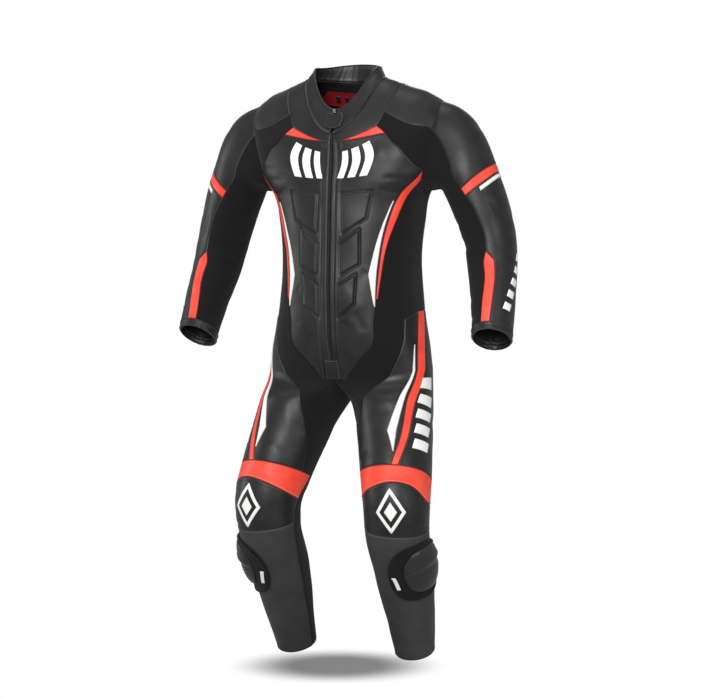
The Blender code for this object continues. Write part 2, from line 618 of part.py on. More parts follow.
def build_torso(leather, stretch, red, white):
    t, l = torso_seams(), leg_seams()
    front = patch(t["front_foot"], join(t["yoke_zip"], t["wing_low"], t["chest"]),
                  t["zip_edge"], join(t["vee"], t["stripe_in"]))
    panel("front", torso, [front], leather, LEATHER)
    low, high = t["wing_low"][1:], t["wing_top"][1:]
    panel("wing", torso, [patch(low, high, np.stack([low[0], high[0]]), t["wing_side"][::-1])],
          red, LEATHER)
    panel("yoke", torso, [patch(
        join(t["yoke_zip"], t["wing_top"], t["yoke_gusset"], t["yoke_shoulder"], t["yoke_back"]),
        t["neckline"], seam(2, t["yoke_zip"][0], t["neckline"][0]), seam(2, NECK_BACK, (0, 180)))],
        leather, LEATHER, sides="whole")
    panel("gusset", torso, [patch(
        t["hole_gusset"], t["yoke_gusset"], join(t["wing_side"], t["chest"])[::-1],
        t["shoulder_front"][::-1])], stretch, STRETCH)
    panel("shoulder", torso, [patch(
        t["hole_top"], t["yoke_shoulder"], t["shoulder_front"][::-1], t["shoulder_back"][::-1])],
        leather, LEATHER)
    panel("back", torso, [patch(
        t["waist_back"], t["yoke_back"],
        join(t["side_back"], t["hole_back"], t["shoulder_back"][::-1]),
        seam(16, (WAIST_SIDE[0], 180), NECK_BACK))], leather, LEATHER, sides="whole")
    panel("side", torso, [
        patch(t["hip_front"], t["side_fold"],
              np.concatenate([t["vee"][:-1], t["stripe_out"][:1]]), torso_side(l["thigh_hip"])[::-1]),
        patch(join(t["side_fold"], torso_side(l["tongue"]), torso_side(l["stripe_top"]),
                   torso_side(l["outer_top"])),
              t["hole_side"], t["stripe_out"], t["side_back"])], stretch, STRETCH)
    panel("chest_stripe", torso, [patch(
        np.array([STRIPE_END_IN, STRIPE_END_OUT]), t["hole_stripe"], t["stripe_in"], t["stripe_out"])],
        red, LEATHER)
    wedge = (np.array([(-0.500, 36.0), (-0.425, 32.8), (-0.350, 38.8), (-0.301, 43.2), (-0.255, 48.6)]),
             np.array([(-0.500, 36.6), (-0.420, 39.2), (-0.349, 42.3), (-0.297, 45.4), (-0.255, 49.4)]))
    piece("chest_wedge", laid_on(torso, front, range(4, 9), wedge, 3, TRIM + ON_TOP), white, TRIM)
    panel("seat", torso, [patch(
        t["hip_back"], t["waist_back"], torso_side(l["outer_hip"])[::-1],
        seam(3, (HIP, 180), (WAIST_SIDE[0], 180)))], leather, LEATHER, sides="whole")


def build_front_trim(leather, stretch, red):
    t = torso_seams()
    half = np.linspace(ZIP_END, -0.004, 12)
    edge = np.stack([half, zip_angle(half)], -1)
    middle = np.stack([half, 0 * half], -1)
    panel("zip", torso, [np.stack([middle, edge], 1)], stretch, STRETCH, sides="whole")
    foot = np.linspace(HIP + 0.002, ZIP_END + 0.012, 3)
    wide = np.degrees(PATCH_HALF / along(TORSO, "wide", foot))
    across = np.linspace(0, 1, 3)
    panel("zip_patch", torso, [np.stack([foot[:, None] + 0 * across, wide[:, None] * across], -1)],
          leather, LEATHER, lift=LEATHER + 2 * ON_TOP, sides="whole")
    top = t["neckline"] + [1.0, 0]
    panel("collar", collar, [patch(
        t["neckline"], top, seam(2, t["neckline"][0], top[0]), seam(2, t["neckline"][-1], top[-1]))],
        leather, LEATHER, sides="whole")
    panel("collar_tab", collar, [oblong(2, 5, **COLLAR_TAB)], leather, LEATHER,
          lift=LEATHER + 3 * ON_TOP, sides="one")
    panel("label", torso, [oblong(2, 5, **NECK_LABEL)], red, TRIM,
          lift=-LEATHER - 4 * ON_TOP, sides="one")


def build_arms(leather, stretch, red, white):
    band_in, band_out = (0.165, -3.0), (0.142, 165.0)
    low_in, low_out = (0.184, 0.0), (0.158, 166.0)
    end, tip, tip_out = 0.537, (0.345, 7.0), (0.372, 24.0)
    rear_hole = 180 - FRONT_HOLE
    front = seam(4, (0.0, FRONT_HOLE), (0.035, 17), (0.071, 9), (0.135, -8), band_in)
    rear = seam(4, (0.0, rear_hole), (0.07, 160), band_out)
    band_high = seam(5, band_in, (0.148, 38), (0.142, 86), band_out)
    band_low = seam(5, low_in, (0.171, 38), (0.156, 90), low_out)
    elbow = seam(3, low_in, (0.235, 9), (0.280, 11), tip)
    stripe_in = seam(5, tip, (0.375, -1), (0.425, -1), (0.490, -9), (end, -13))
    stripe_out = join(np.array([tip, tip_out]),
                      seam(4, tip_out, (0.430, 25), (0.490, 19), (end, 14)))
    rear_low = seam(8, low_out, (0.30, 192), (end, 200))
    panel("upper_arm", arm, [patch(band_high, level(5, 0.0, FRONT_HOLE, rear_hole),
                                   front[::-1], rear[::-1])], leather, LEATHER)
    panel("arm_band", arm, [patch(band_low, band_high, np.array([low_in, band_in]),
                                  np.array([low_out, band_out]))], red, LEATHER)
    forearm = patch(level(5, end, 14, 200), band_low, join(elbow, stripe_out)[::-1], rear_low[::-1])
    panel("forearm", arm, [forearm], leather, LEATHER)
    piece("arm_bar", laid_across(arm, forearm, range(1, 5), 0.0085, 0.0050, TRIM + 2 * ON_TOP), white, TRIM)
    panel("forearm_stripe", arm, [patch(
        level(1, end, -13, 14), np.array([tip, tip]), stripe_in[::-1], stripe_out[::-1])],
        red, LEATHER)
    inner = join(front, np.array([band_in, low_in]), elbow, stripe_in)
    outer = join(rear, np.array([band_out, low_out]), rear_low) - [0, 360]
    top = join(*[level(n, 0.0, a, b) for n, a, b in (
        (3, REAR_HOLE, BACK_HOLE), (5, BACK_HOLE, SIDE_HOLE), (1, SIDE_HOLE, STRIPE_HOLE),
        (3, STRIPE_HOLE, FRONT_HOLE))])
    panel("inner_arm", arm, [patch(level(12, end, -160, -13), top, outer[::-1], inner[::-1])],
          stretch, STRETCH)
    round_wrist = join(level(6, end, -160, -13), level(1, end, -13, 14), level(5, end, 14, 200))
    panel("cuff", arm, [np.stack([round_wrist + [CUFF, 0], round_wrist])], leather, LEATHER)


def build_legs(leather, stretch, red, white, rubber):
    l = leg_seams()
    band_in, band_out = band_point(BAND_IN), band_point(BAND_OUT)
    thigh = patch(on_band(5, BAND_THIGH, BAND_STRIPE_IN), seam(5, TONGUE_IN, TONGUE_OUT),
                  join(l["thigh_hip"], l["thigh_in"])[::-1], l["stripe_in"][::-1])
    panel("thigh_front", leg, [thigh], leather, LEATHER)
    panel("leg_stripe", leg, [patch(
        on_band(1, BAND_STRIPE_IN, BAND_STRIPE_OUT), l["stripe_top"],
        l["stripe_in"][::-1], l["stripe_out"][::-1])], red, LEATHER)
    wedge = (np.array([(0.230, 9.0), (0.200, 7.6), (0.157, 4.5), (0.083, 27), (0.0, 46.5), (-0.060, 58.4)]),
             np.array([(0.230, 9.8), (0.200, 9.2), (0.157, 18), (0.081, 35.5), (0.0, 50.0), (-0.060, 59.6)]))
    piece("leg_wedge", laid_on(leg, thigh, range(1, 8), wedge, 3, TRIM + 2 * ON_TOP), white, TRIM)
    panel("thigh_outer", leg, [patch(
        on_band(5, BAND_STRIPE_OUT, BAND_OUT), seam(5, STRIPE_TOP, WAIST_BACK),
        l["stripe_out"][::-1], join(l["outer_hip"], l["outer_back"])[::-1])], leather, LEATHER)
    panel("inner_leg", leg, [patch(
        on_band(9, BAND_IN, BAND_THIGH), l["hip_inside"],
        l["inner_back"][::-1], l["thigh_in"][::-1])], stretch, STRETCH)
    panel("leg_back", leg, [patch(
        level(4, HEM_IN[0], HEM_OUT[1], HEM_IN[1] + 360), l["hip_back"],
        join(l["outer_back"], l["outer_low"])[::-1],
        join(l["inner_back"], l["inner_low"])[::-1] + [0, 360])], stretch, STRETCH)
    panel("knee_band", leg, [patch(
        l["band_low"], on_band(9, BAND_IN, BAND_OUT),
        np.array([BAND_LOW_IN, band_in]), np.array([BAND_LOW_OUT, band_out]))], red, LEATHER)
    panel("knee", leg, [patch(
        l["knee_low"], l["band_low"], np.array([KNEE_LOW_IN, BAND_LOW_IN]),
        np.array([KNEE_LOW_OUT, BAND_LOW_OUT]))], leather, LEATHER)
    panel("shin", leg, [patch(
        level(9, HEM_IN[0], HEM_IN[1], HEM_OUT[1]), l["knee_low"],
        l["inner_low"][:1:-1], l["outer_low"][:1:-1])], leather, LEATHER)
    slider("slider_base", rubber, BASE, 0.0026, 0.0060, 0.25)
    slider("knee_slider", rubber, PUCK, 0.0068, 0.0190, 0.85)


# The base on the outer shin and the puck on it: the middle on the leg chart,
# half the length along the leg, and half the angle that it spans.
BASE = dict(s=0.452, a=46.0, half_long=0.070, half_turn=66.0)
PUCK = dict(s=0.447, a=56.0, half_long=0.055, half_turn=45.0)
PAD_RINGS = (0.04, 0.40, 0.70, 0.88, 1.0)


def slider(name, mat, place, low, high, dome):
    """A rounded pad over the outer shin: rings from its middle to its rim."""
    r = np.array(PAD_RINGS)[:, None]
    t = np.radians(np.arange(0, 361, 22.5))[None]
    k = (np.abs(np.cos(t))**2.6 + np.abs(np.sin(t))**2.6) ** (-1 / 2.6)
    s = place["s"] + place["half_long"] * r * k * np.cos(t)
    a = place["a"] + place["half_turn"] * r * k * np.sin(t)
    out = plain_normal(leg, s, a, 0.0, 1.0)
    height = low + (high - low) * (1 - dome * r**4)[..., None]
    flat = leg(s, a)
    for side, flip in (("_left", lambda p: p), ("_right", mirrored)):
        pad(name + side, flip(flat + out * height), flip(flat + out * low), mat)


def pad(name, outer, inner, mat):
    """Closed pad between two fans of rings whose last column repeats the first."""
    outer, inner = outer[:, :-1], inner[:, :-1]
    rings, cols = outer.shape[:2]
    index = np.arange(rings * cols).reshape(rings, cols)
    index = np.concatenate([index, index[:, :1]], axis=1)
    a, b, c, d = index[:-1, :-1], index[:-1, 1:], index[1:, 1:], index[1:, :-1]
    skin = np.concatenate([np.stack([a, b, c], -1).reshape(-1, 3),
                           np.stack([a, c, d], -1).reshape(-1, 3)])
    more, rim = rings * cols, index[-1]
    centre = np.array([[index[0, 0], index[0, k], index[0, k + 1]] for k in range(1, cols - 1)])
    faces = np.concatenate([skin, skin[:, ::-1] + more, centre[:, ::-1], centre + more,
                            np.stack([rim[:-1], rim[:-1] + more, rim[1:]], -1),
                            np.stack([rim[1:], rim[:-1] + more, rim[1:] + more], -1)])
    mesh = bpy.data.meshes.new(name)
    mesh.from_pydata(np.concatenate([outer.reshape(-1, 3), inner.reshape(-1, 3)]).tolist(), [],
                     faces.tolist())
    finish(name, mesh, mat)


def main():
    for obj in list(bpy.data.objects):
        bpy.data.objects.remove(obj, do_unlink=True)
    leather = material("black leather", LEATHER_BLACK, 0.45)
    stretch = material("black stretch fabric", STRETCH_BLACK, 0.85)
    red = material("red leather", RED, 0.45)
    white = material("white leather", WHITE, 0.45)
    rubber = material("moulded nylon", RUBBER_BLACK, 0.5)
    build_torso(leather, stretch, red, white)
    build_front_trim(leather, stretch, red)
    build_arms(leather, stretch, red, white)
    build_legs(leather, stretch, red, white, rubber)


main()
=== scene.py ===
# %% [markdown]
# # A one-piece race suit
#
# The suit is filled out as if somebody wore it, and nobody does. It is a set of
# leather and stretch panels, sewn edge to edge round a hollow. Its solids come
# as a fixed frame. This script lays a finely worked cloth over each of them,
# and adds what is too small for a solid: creases, embossing, stitches, zip
# teeth, prints and the grain of each material.

import bpy
import numpy as np
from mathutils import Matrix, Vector


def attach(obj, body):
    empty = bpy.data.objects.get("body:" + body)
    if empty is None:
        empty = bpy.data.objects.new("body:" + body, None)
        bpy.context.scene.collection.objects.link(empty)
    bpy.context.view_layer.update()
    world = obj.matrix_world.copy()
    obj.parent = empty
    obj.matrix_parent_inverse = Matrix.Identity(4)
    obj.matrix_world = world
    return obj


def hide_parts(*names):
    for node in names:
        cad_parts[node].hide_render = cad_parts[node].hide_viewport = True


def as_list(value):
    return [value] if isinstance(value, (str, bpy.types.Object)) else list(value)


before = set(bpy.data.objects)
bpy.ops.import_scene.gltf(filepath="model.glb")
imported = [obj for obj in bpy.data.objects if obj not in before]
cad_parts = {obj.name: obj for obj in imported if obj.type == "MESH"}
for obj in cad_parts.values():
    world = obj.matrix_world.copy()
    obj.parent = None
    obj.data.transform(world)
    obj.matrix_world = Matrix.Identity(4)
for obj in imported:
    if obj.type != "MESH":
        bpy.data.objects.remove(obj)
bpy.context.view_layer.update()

# %% [markdown]
# ## Sizes
#
# A panel of a real suit is a flat cut, and sewing bends it to the body's shape.
# Here the shape comes first: three curved charts, for the torso, the sleeve and
# the leg, turn a place (s, a) into a point. s runs along the limb in metres and
# a goes round it in degrees, 0 at the front and 90 at the outer side. The rings
# in the tables are those of the solids, so that the cloth lies on them.

# %% Walls, gaps and rings
LEATHER, STRETCH, TRIM = 0.0020, 0.0016, 0.0010     # walls
ON_TOP = 0.0006                                     # gap under a piece laid on a panel
HIP, ZIP_HALF, ZIP_END, PATCH_HALF, CUFF = -0.65, 0.0045, -0.625, 0.017, 0.018


def table(columns, rows):
    """A short table as a dictionary of columns."""
    return dict(zip(columns.split(), np.array(rows, float).T))


# Rings of the torso: height at the front, side and back, half width, depth
# before and behind the middle, the middle's y, and how square the ring is.
TORSO = table("s z_front z_side z_back wide front back mid square", [
    (-0.650, -0.675, -0.645, -0.665, 0.204, 0.094, 0.125, -0.010, 2.3),
    (-0.590, -0.600, -0.590, -0.590, 0.193, 0.126, 0.125, -0.002, 2.3),
    (-0.500, -0.500, -0.500, -0.500, 0.177, 0.145, 0.112,  0.006, 2.3),
    (-0.390, -0.390, -0.390, -0.390, 0.169, 0.145, 0.108,  0.008, 2.3),
    (-0.300, -0.300, -0.300, -0.300, 0.175, 0.140, 0.118,  0.006, 2.4),
    (-0.240, -0.240, -0.235, -0.235, 0.188, 0.133, 0.126,  0.003, 2.5),
    (-0.190, -0.205, -0.170, -0.175, 0.222, 0.127, 0.128,  0.000, 2.6),
    (-0.140, -0.170, -0.045, -0.110, 0.250, 0.120, 0.121, -0.002, 2.4),
    (-0.095, -0.142, -0.002, -0.055, 0.214, 0.112, 0.110, -0.008, 2.2),
    (-0.045, -0.115,  0.022, -0.005, 0.152, 0.100, 0.099, -0.020, 2.1),
    ( 0.000, -0.088,  0.042,  0.036, 0.098, 0.084, 0.086, -0.032, 2.0),
])

# Rings of a sleeve: centre, half width, half depth, and the ring's lean.
ARM = table("s x y z wide front back turn lean", [
    (0.150, 0.303,  0.006, -0.205, 0.069, 0.070, 0.070, 0,  0),
    (0.220, 0.328,  0.010, -0.270, 0.066, 0.068, 0.068, 0,  0),
    (0.300, 0.349,  0.012, -0.345, 0.062, 0.063, 0.063, 0,  0),
    (0.365, 0.360,  0.000, -0.405, 0.059, 0.059, 0.059, 0,  3),
    (0.450, 0.372, -0.028, -0.480, 0.053, 0.055, 0.055, 0,  7),
    (0.555, 0.383, -0.063, -0.575, 0.046, 0.050, 0.050, 0, 12),
])

# Rings of a leg: centre, half width, depth before and behind it, and how far
# the leg is turned out.
LEG = table("s x y z wide front back turn lean", [
    (0.090, 0.1280, -0.041, -0.765, 0.092, 0.098, 0.098,  2, 0),
    (0.160, 0.1420, -0.066, -0.828, 0.087, 0.094, 0.092,  6, 0),
    (0.235, 0.1560, -0.095, -0.898, 0.083, 0.090, 0.086, 10, 0),
    (0.310, 0.1655, -0.116, -0.965, 0.078, 0.084, 0.079, 14, 0),
    (0.370, 0.1660, -0.112, -1.025, 0.075, 0.077, 0.077, 15, 0),
    (0.460, 0.1635, -0.072, -1.110, 0.070, 0.068, 0.078, 15, 0),
    (0.545, 0.1610, -0.035, -1.190, 0.063, 0.060, 0.072, 15, 0),
    (0.610, 0.1590, -0.008, -1.250, 0.056, 0.055, 0.058, 15, 0),
    (0.690, 0.1560,  0.022, -1.325, 0.047, 0.049, 0.050, 15, 0),
])

ARMHOLE = dict(low=-0.232, high=-0.118, spread=28.0)
SLEEVE_HEAD = dict(top=1.25, side=0.90)
CROTCH = dict(turn=40.0, drop=0.028)
COLLAR = dict(wide=0.080, deep=0.072, mid=-0.022, front=-0.035, side=0.068, back=0.078)
print("suit", round(float(TORSO["z_side"][-1] - LEG["z"][-1]), 3), "m from neckline to hem")

# %% [markdown]
# ## Curves
#
# A tailor draws a seam through a few marks with a curved ruler. A cubic curve
# through the marks does the same: it meets each one, and its slope there is
# that of its neighbours. The rings are read the same way between table rows.

# %% Smooth reading of a table
def unit(v):
    """v divided by its length."""
    return v / np.maximum(np.linalg.norm(v, axis=-1, keepdims=True), 1e-12)


def blend(u, start, leave, end, arrive):
    """Hermite curve: a cubic in u from start to end, with a given slope at each."""
    return ((2 * u**3 - 3 * u**2 + 1) * start + (u**3 - 2 * u**2 + u) * leave
            + (3 * u**2 - 2 * u**3) * end + (u**3 - u**2) * arrive)


def along(tab, column, s):
    """A column of a table read at s, by a Hermite curve between its two nearest rows."""
    key, val = tab["s"], tab[column]
    slope = np.gradient(val, key)
    s = np.clip(s, key[0], key[-1])
    i = np.clip(np.searchsorted(key, s, side="right") - 1, 0, len(key) - 2)
    h = key[i + 1] - key[i]
    return blend((s - key[i]) / h, val[i], h * slope[i], val[i + 1], h * slope[i + 1])


def smooth(x):
    """0 below 0, 1 above 1, and an S between them."""
    x = np.clip(x, 0, 1)
    return x * x * (3 - 2 * x)


# %% The torso and the rings of the limbs
def torso(s, a):
    """Point of the torso.

    A superellipse |x/wide|^n + |y/deep|^n = 1 seen from above, whose height
    goes from the side's to the front's or back's with the square of cos a.
    """
    s, a = np.broadcast_arrays(np.asarray(s, float), np.radians(a))
    sn, cs = np.sin(a), np.cos(a)
    n = along(TORSO, "square", s)
    k = (np.abs(sn)**n + np.abs(cs)**n) ** (-1 / n)
    deep = np.where(cs > 0, along(TORSO, "front", s), along(TORSO, "back", s))
    z_end = np.where(cs > 0, along(TORSO, "z_front", s), along(TORSO, "z_back", s))
    z_side = along(TORSO, "z_side", s)
    return np.stack([along(TORSO, "wide", s) * sn * k,
                     along(TORSO, "mid", s) - deep * cs * k,
                     z_side + (z_end - z_side) * cs**2], -1)


def ring(tab, s, a):
    """Point of a limb: its axis, plus an ellipse square to the axis but for its lean."""
    s, a = np.broadcast_arrays(np.asarray(s, float), np.asarray(a, float))

    def axis(at):
        at = np.clip(at, tab["s"][0], tab["s"][-1])
        return np.stack([along(tab, c, at) for c in "xyz"], -1)

    down = unit(axis(s + 0.01) - axis(s - 0.01))
    turn = np.radians(along(tab, "turn", s))
    out = np.stack([np.cos(turn), np.sin(turn), 0 * s], -1)
    out = unit(out - (out * down).sum(-1, keepdims=True) * down)
    fore = np.cross(down, out)
    lean = np.radians(along(tab, "lean", s))[..., None]
    fore = np.cos(lean) * fore - np.sin(lean) * down
    cs, sn = np.cos(np.radians(a))[..., None], np.sin(np.radians(a))[..., None]
    deep = np.where(cs > 0, along(tab, "front", s)[..., None], along(tab, "back", s)[..., None])
    return axis(s) + deep * cs * fore + along(tab, "wide", s)[..., None] * sn * out


# %% The sleeve
def armhole(a):
    """The armhole: an ellipse on the torso chart, at its angle a."""
    low, high = ARMHOLE["low"], ARMHOLE["high"]
    t = np.radians(a)
    return (low + high) / 2 + (high - low) / 2 * np.sin(t), 90 - ARMHOLE["spread"] * np.cos(t)


def arm(s, a):
    """Point of the sleeve: a Hermite curve from the armhole to the first ring, then the rings."""
    s, a = np.broadcast_arrays(np.asarray(s, float), np.asarray(a, float))
    first = ARM["s"][0]
    top = np.clip(np.sin(np.radians(a)), 0, 1)[..., None]
    start, end = torso(*armhole(a)), ring(ARM, first + 0 * s, a)
    chord = np.linalg.norm(end - start, axis=-1, keepdims=True)
    full = chord * (SLEEVE_HEAD["side"] + (SLEEVE_HEAD["top"] - SLEEVE_HEAD["side"]) * top)
    leave = unit(np.array([0.96, 0, -0.22]) * top + np.array([0.85, 0, -0.50]) * (1 - top))
    arrive = unit(ring(ARM, first + 0.02 + 0 * s, a) - end)
    head = blend(np.clip(s / first, 0, 1)[..., None], start, leave * full, end, arrive * full)
    return np.where((s < first)[..., None], head, ring(ARM, np.maximum(s, first), a))


# %% The leg and the collar
def hip_angle(a):
    """Angle on the torso of the leg's angle a, outside the crotch."""
    return (a + CROTCH["turn"]) * 180 / (180 + 2 * CROTCH["turn"])


def leg_angle(t):
    """Angle on the leg of the torso's angle t."""
    return t * (180 + 2 * CROTCH["turn"]) / 180 - CROTCH["turn"]


def leg(s, a):
    """Point of the leg.

    Above s = 0 it is the torso. Below, a Hermite curve goes from the hip
    ring, whose inner part is a sagging line through the crotch, to the
    first ring, and then the rings follow.
    """
    s, a = np.broadcast_arrays(np.asarray(s, float), np.asarray(a, float))
    a = (a + 140) % 360 - 140
    turn, first = CROTCH["turn"], LEG["s"][0]
    across = np.clip((-turn - a) / (180 - 2 * turn), 0, 1)[..., None]
    front, back = torso(HIP, 0.0), torso(HIP, 180.0)
    crotch = front * (1 - across) + back * across
    crotch = crotch - np.array([0, 0, CROTCH["drop"]]) * np.sin(np.pi * across)
    start = np.where((a < -turn)[..., None], crotch, torso(HIP + 0 * s, np.clip(hip_angle(a), 0, 180)))
    w = np.clip(np.cos(np.radians(a + 90) * 90 / 85), 0, 1)[..., None]
    leave = (np.array([0.60, 0, -0.52]) * w + np.array([0, 0, -1.0]) * (1 - w)) * first
    end = ring(LEG, first + 0 * s, a)
    arrive = (ring(LEG, first + 0.02 + 0 * s, a) - end) / 0.02 * first
    thigh = blend(np.clip(s / first, 0, 1)[..., None], start, leave, end, arrive)
    low = np.where((s < first)[..., None], thigh, ring(LEG, np.maximum(s, first), a))
    return np.where((s < 0)[..., None], torso(HIP - s, hip_angle(a)), low)


def collar(s, a):
    """Point of the standing collar: straight lines from the neckline to an upper ellipse."""
    s, a = np.broadcast_arrays(np.asarray(s, float), np.asarray(a, float))
    base = torso(0 * s, a)
    sn, cs = np.sin(np.radians(a)), np.cos(np.radians(a))
    z_end = np.where(cs > 0, COLLAR["front"], COLLAR["back"])
    top = np.stack([COLLAR["wide"] * sn, COLLAR["mid"] - COLLAR["deep"] * cs,
                    COLLAR["side"] + (z_end - COLLAR["side"]) * cs**2], -1)
    return base + (top - base) * s[..., None]


# %% Which way is out
def plain_normal(chart, s, a, low, high):
    """Outward normal: the cross product of small steps in s and in a."""
    ds = chart(np.minimum(s + 1e-4, high), a) - chart(np.maximum(s - 1e-4, low), a)
    da = chart(s, a + 0.05) - chart(s, a - 0.05)
    return unit(np.cross(da, ds) if chart in (torso, collar) else np.cross(ds, da))


def armhole_normal(a):
    """Mean of the torso's and the sleeve's normal at the armhole."""
    s, t = armhole(a)
    return unit(plain_normal(torso, s, t, HIP, 0.0) + plain_normal(arm, 0 * s, a, 0.0, 1.0))


def hip_normal(a):
    """Normal at the top ring of a leg, level across at the crotch."""
    a = (np.asarray(a, float) + 140) % 360 - 140
    outside = plain_normal(leg, 0 * a, np.maximum(a, -CROTCH["turn"]), -1.0, 1.0)
    inside = unit(plain_normal(leg, 0 * a, a, 0.0, 1.0) * np.array([1e-6, 1, 1]))
    return np.where((a < -CROTCH["turn"] + 1e-6)[..., None], inside, outside)


def shared(inner, other, distance, reach=0.012):
    """A normal that turns into a shared one within reach of a line."""
    w = smooth(1 - distance / reach)[..., None]
    return unit(inner * (1 - w) + other * w)


def normal(chart, s, a):
    """Outward normal, turned to a shared one near the lines where two charts meet."""
    if chart is collar:
        return plain_normal(collar, s, a, 0.0, 1.0)
    if chart is arm:
        return shared(plain_normal(arm, s, a, 0.0, 1.0), armhole_normal(a), s)
    if chart is leg:
        return shared(plain_normal(leg, s, a, -1.0, 1.0), hip_normal(a), np.abs(s))
    low, high = ARMHOLE["low"], ARMHOLE["high"]
    up = (s - (low + high) / 2) / ((high - low) / 2)
    side = (90 - a) / ARMHOLE["spread"]
    hole = armhole_normal(np.degrees(np.arctan2(up, side)))
    inner = shared(plain_normal(torso, s, a, HIP, 0.0), hole, (np.hypot(up, side) - 1) * 0.06)
    return shared(inner, hip_normal(leg_angle(np.clip(a, 0, 180))), s - HIP)


print("neckline front", torso(0.0, 0.0).round(3), "cuff", arm(0.555, 0.0).round(3))

# %% [markdown]
# ## Seams
#
# Two panels that are sewn together share one seam, so each seam is written down
# once, as a smooth line through a few places on a chart. A panel is then the
# Coons patch between its four seams: the average of the two ruled surfaces
# that span opposite seams, which needs no fitting and no stitching of meshes.

# %% Lines on a chart
FINE = 16                   # points for each step of a seam


def seam(steps, *points):
    """Smooth line through (s, a) places, read at even shares of its length."""
    points = np.array(points, float)
    gaps = np.hypot(np.diff(points[:, 0]), np.diff(points[:, 1]) * 0.0015)
    far = np.concatenate([[0], np.cumsum(gaps)])
    tab = dict(s=far, p=points[:, 0], a=points[:, 1])
    at = np.linspace(0, far[-1], steps * FINE + 1)
    return np.stack([along(tab, "p", at), along(tab, "a", at)], -1)


def level(steps, s, start, end):
    """A seam at one s."""
    return seam(steps, (s, start), (s, end))


def join(*lines):
    """Several seams end to end."""
    return np.concatenate([line[:-1] for line in lines[:-1]] + [lines[-1]])


def zip_angle(s):
    return np.degrees(ZIP_HALF / along(TORSO, "wide", s))


def beside_zip(low, high):
    """The edge beside the zip."""
    s = np.linspace(low, high, 11 * FINE + 1)
    return np.stack([s, zip_angle(s)], -1)


def hole_seam(steps, start, end):
    """A stretch of the armhole, on the torso chart."""
    return np.stack(armhole(np.linspace(start, end, steps * FINE + 1)), -1)


def hole_point(a):
    return tuple(float(v) for v in armhole(a))


def torso_side(line):
    """A seam of the leg chart on the torso chart."""
    return np.stack([HIP - line[:, 0], hip_angle(line[:, 1])], -1)


def torso_point(place):
    return HIP - place[0], float(hip_angle(place[1]))


# %% Corners of the panels
FRONT_HOLE, STRIPE_HOLE, SIDE_HOLE, BACK_HOLE, REAR_HOLE = 24, -18, -36, -130, -204
WING_TIP, WING_TOP, WING_LOW = (-0.0405, 9.0), (-0.065, 36.5), (-0.095, 36.0)
SHOULDER_FRONT, SHOULDER_BACK, NECK_BACK = (-0.053, 48.0), (-0.045, 130.0), (-0.045, 180.0)
STRIPE_END_IN, STRIPE_END_OUT, FRONT_TIP = (-0.484, 38.0), (-0.484, 39.4), (HIP, 8.0)
TONGUE_IN, TONGUE_OUT = (-0.120, 49.5), (-0.138, 78.0)
STRIPE_TOP, WAIST_BACK = (-0.140, 102.0), (-0.140, 122.0)
THIGH_HIP, OUTER_HIP = (0.0, 17.0), (0.0, 128.0)
BAND_IN, BAND_THIGH, BAND_STRIPE_IN, BAND_STRIPE_OUT, BAND_OUT = -108.0, -84.0, 4.0, 16.0, 128.0
BAND_LOW_IN, BAND_LOW_OUT = (0.297, -100.2), (0.312, 128.0)
KNEE_LOW_IN, KNEE_LOW_OUT = (0.358, -93.2), (0.372, 127.3)
HEM_IN, HEM_OUT = (0.690, -92.0), (0.690, 124.0)
WAIST_SIDE = torso_point(WAIST_BACK)


def band_point(a):
    """A place on the upper edge of the knee band."""
    return 0.2355 + 0.000113 * a, a


def on_band(steps, start, end):
    return seam(steps, band_point(start), band_point(end))


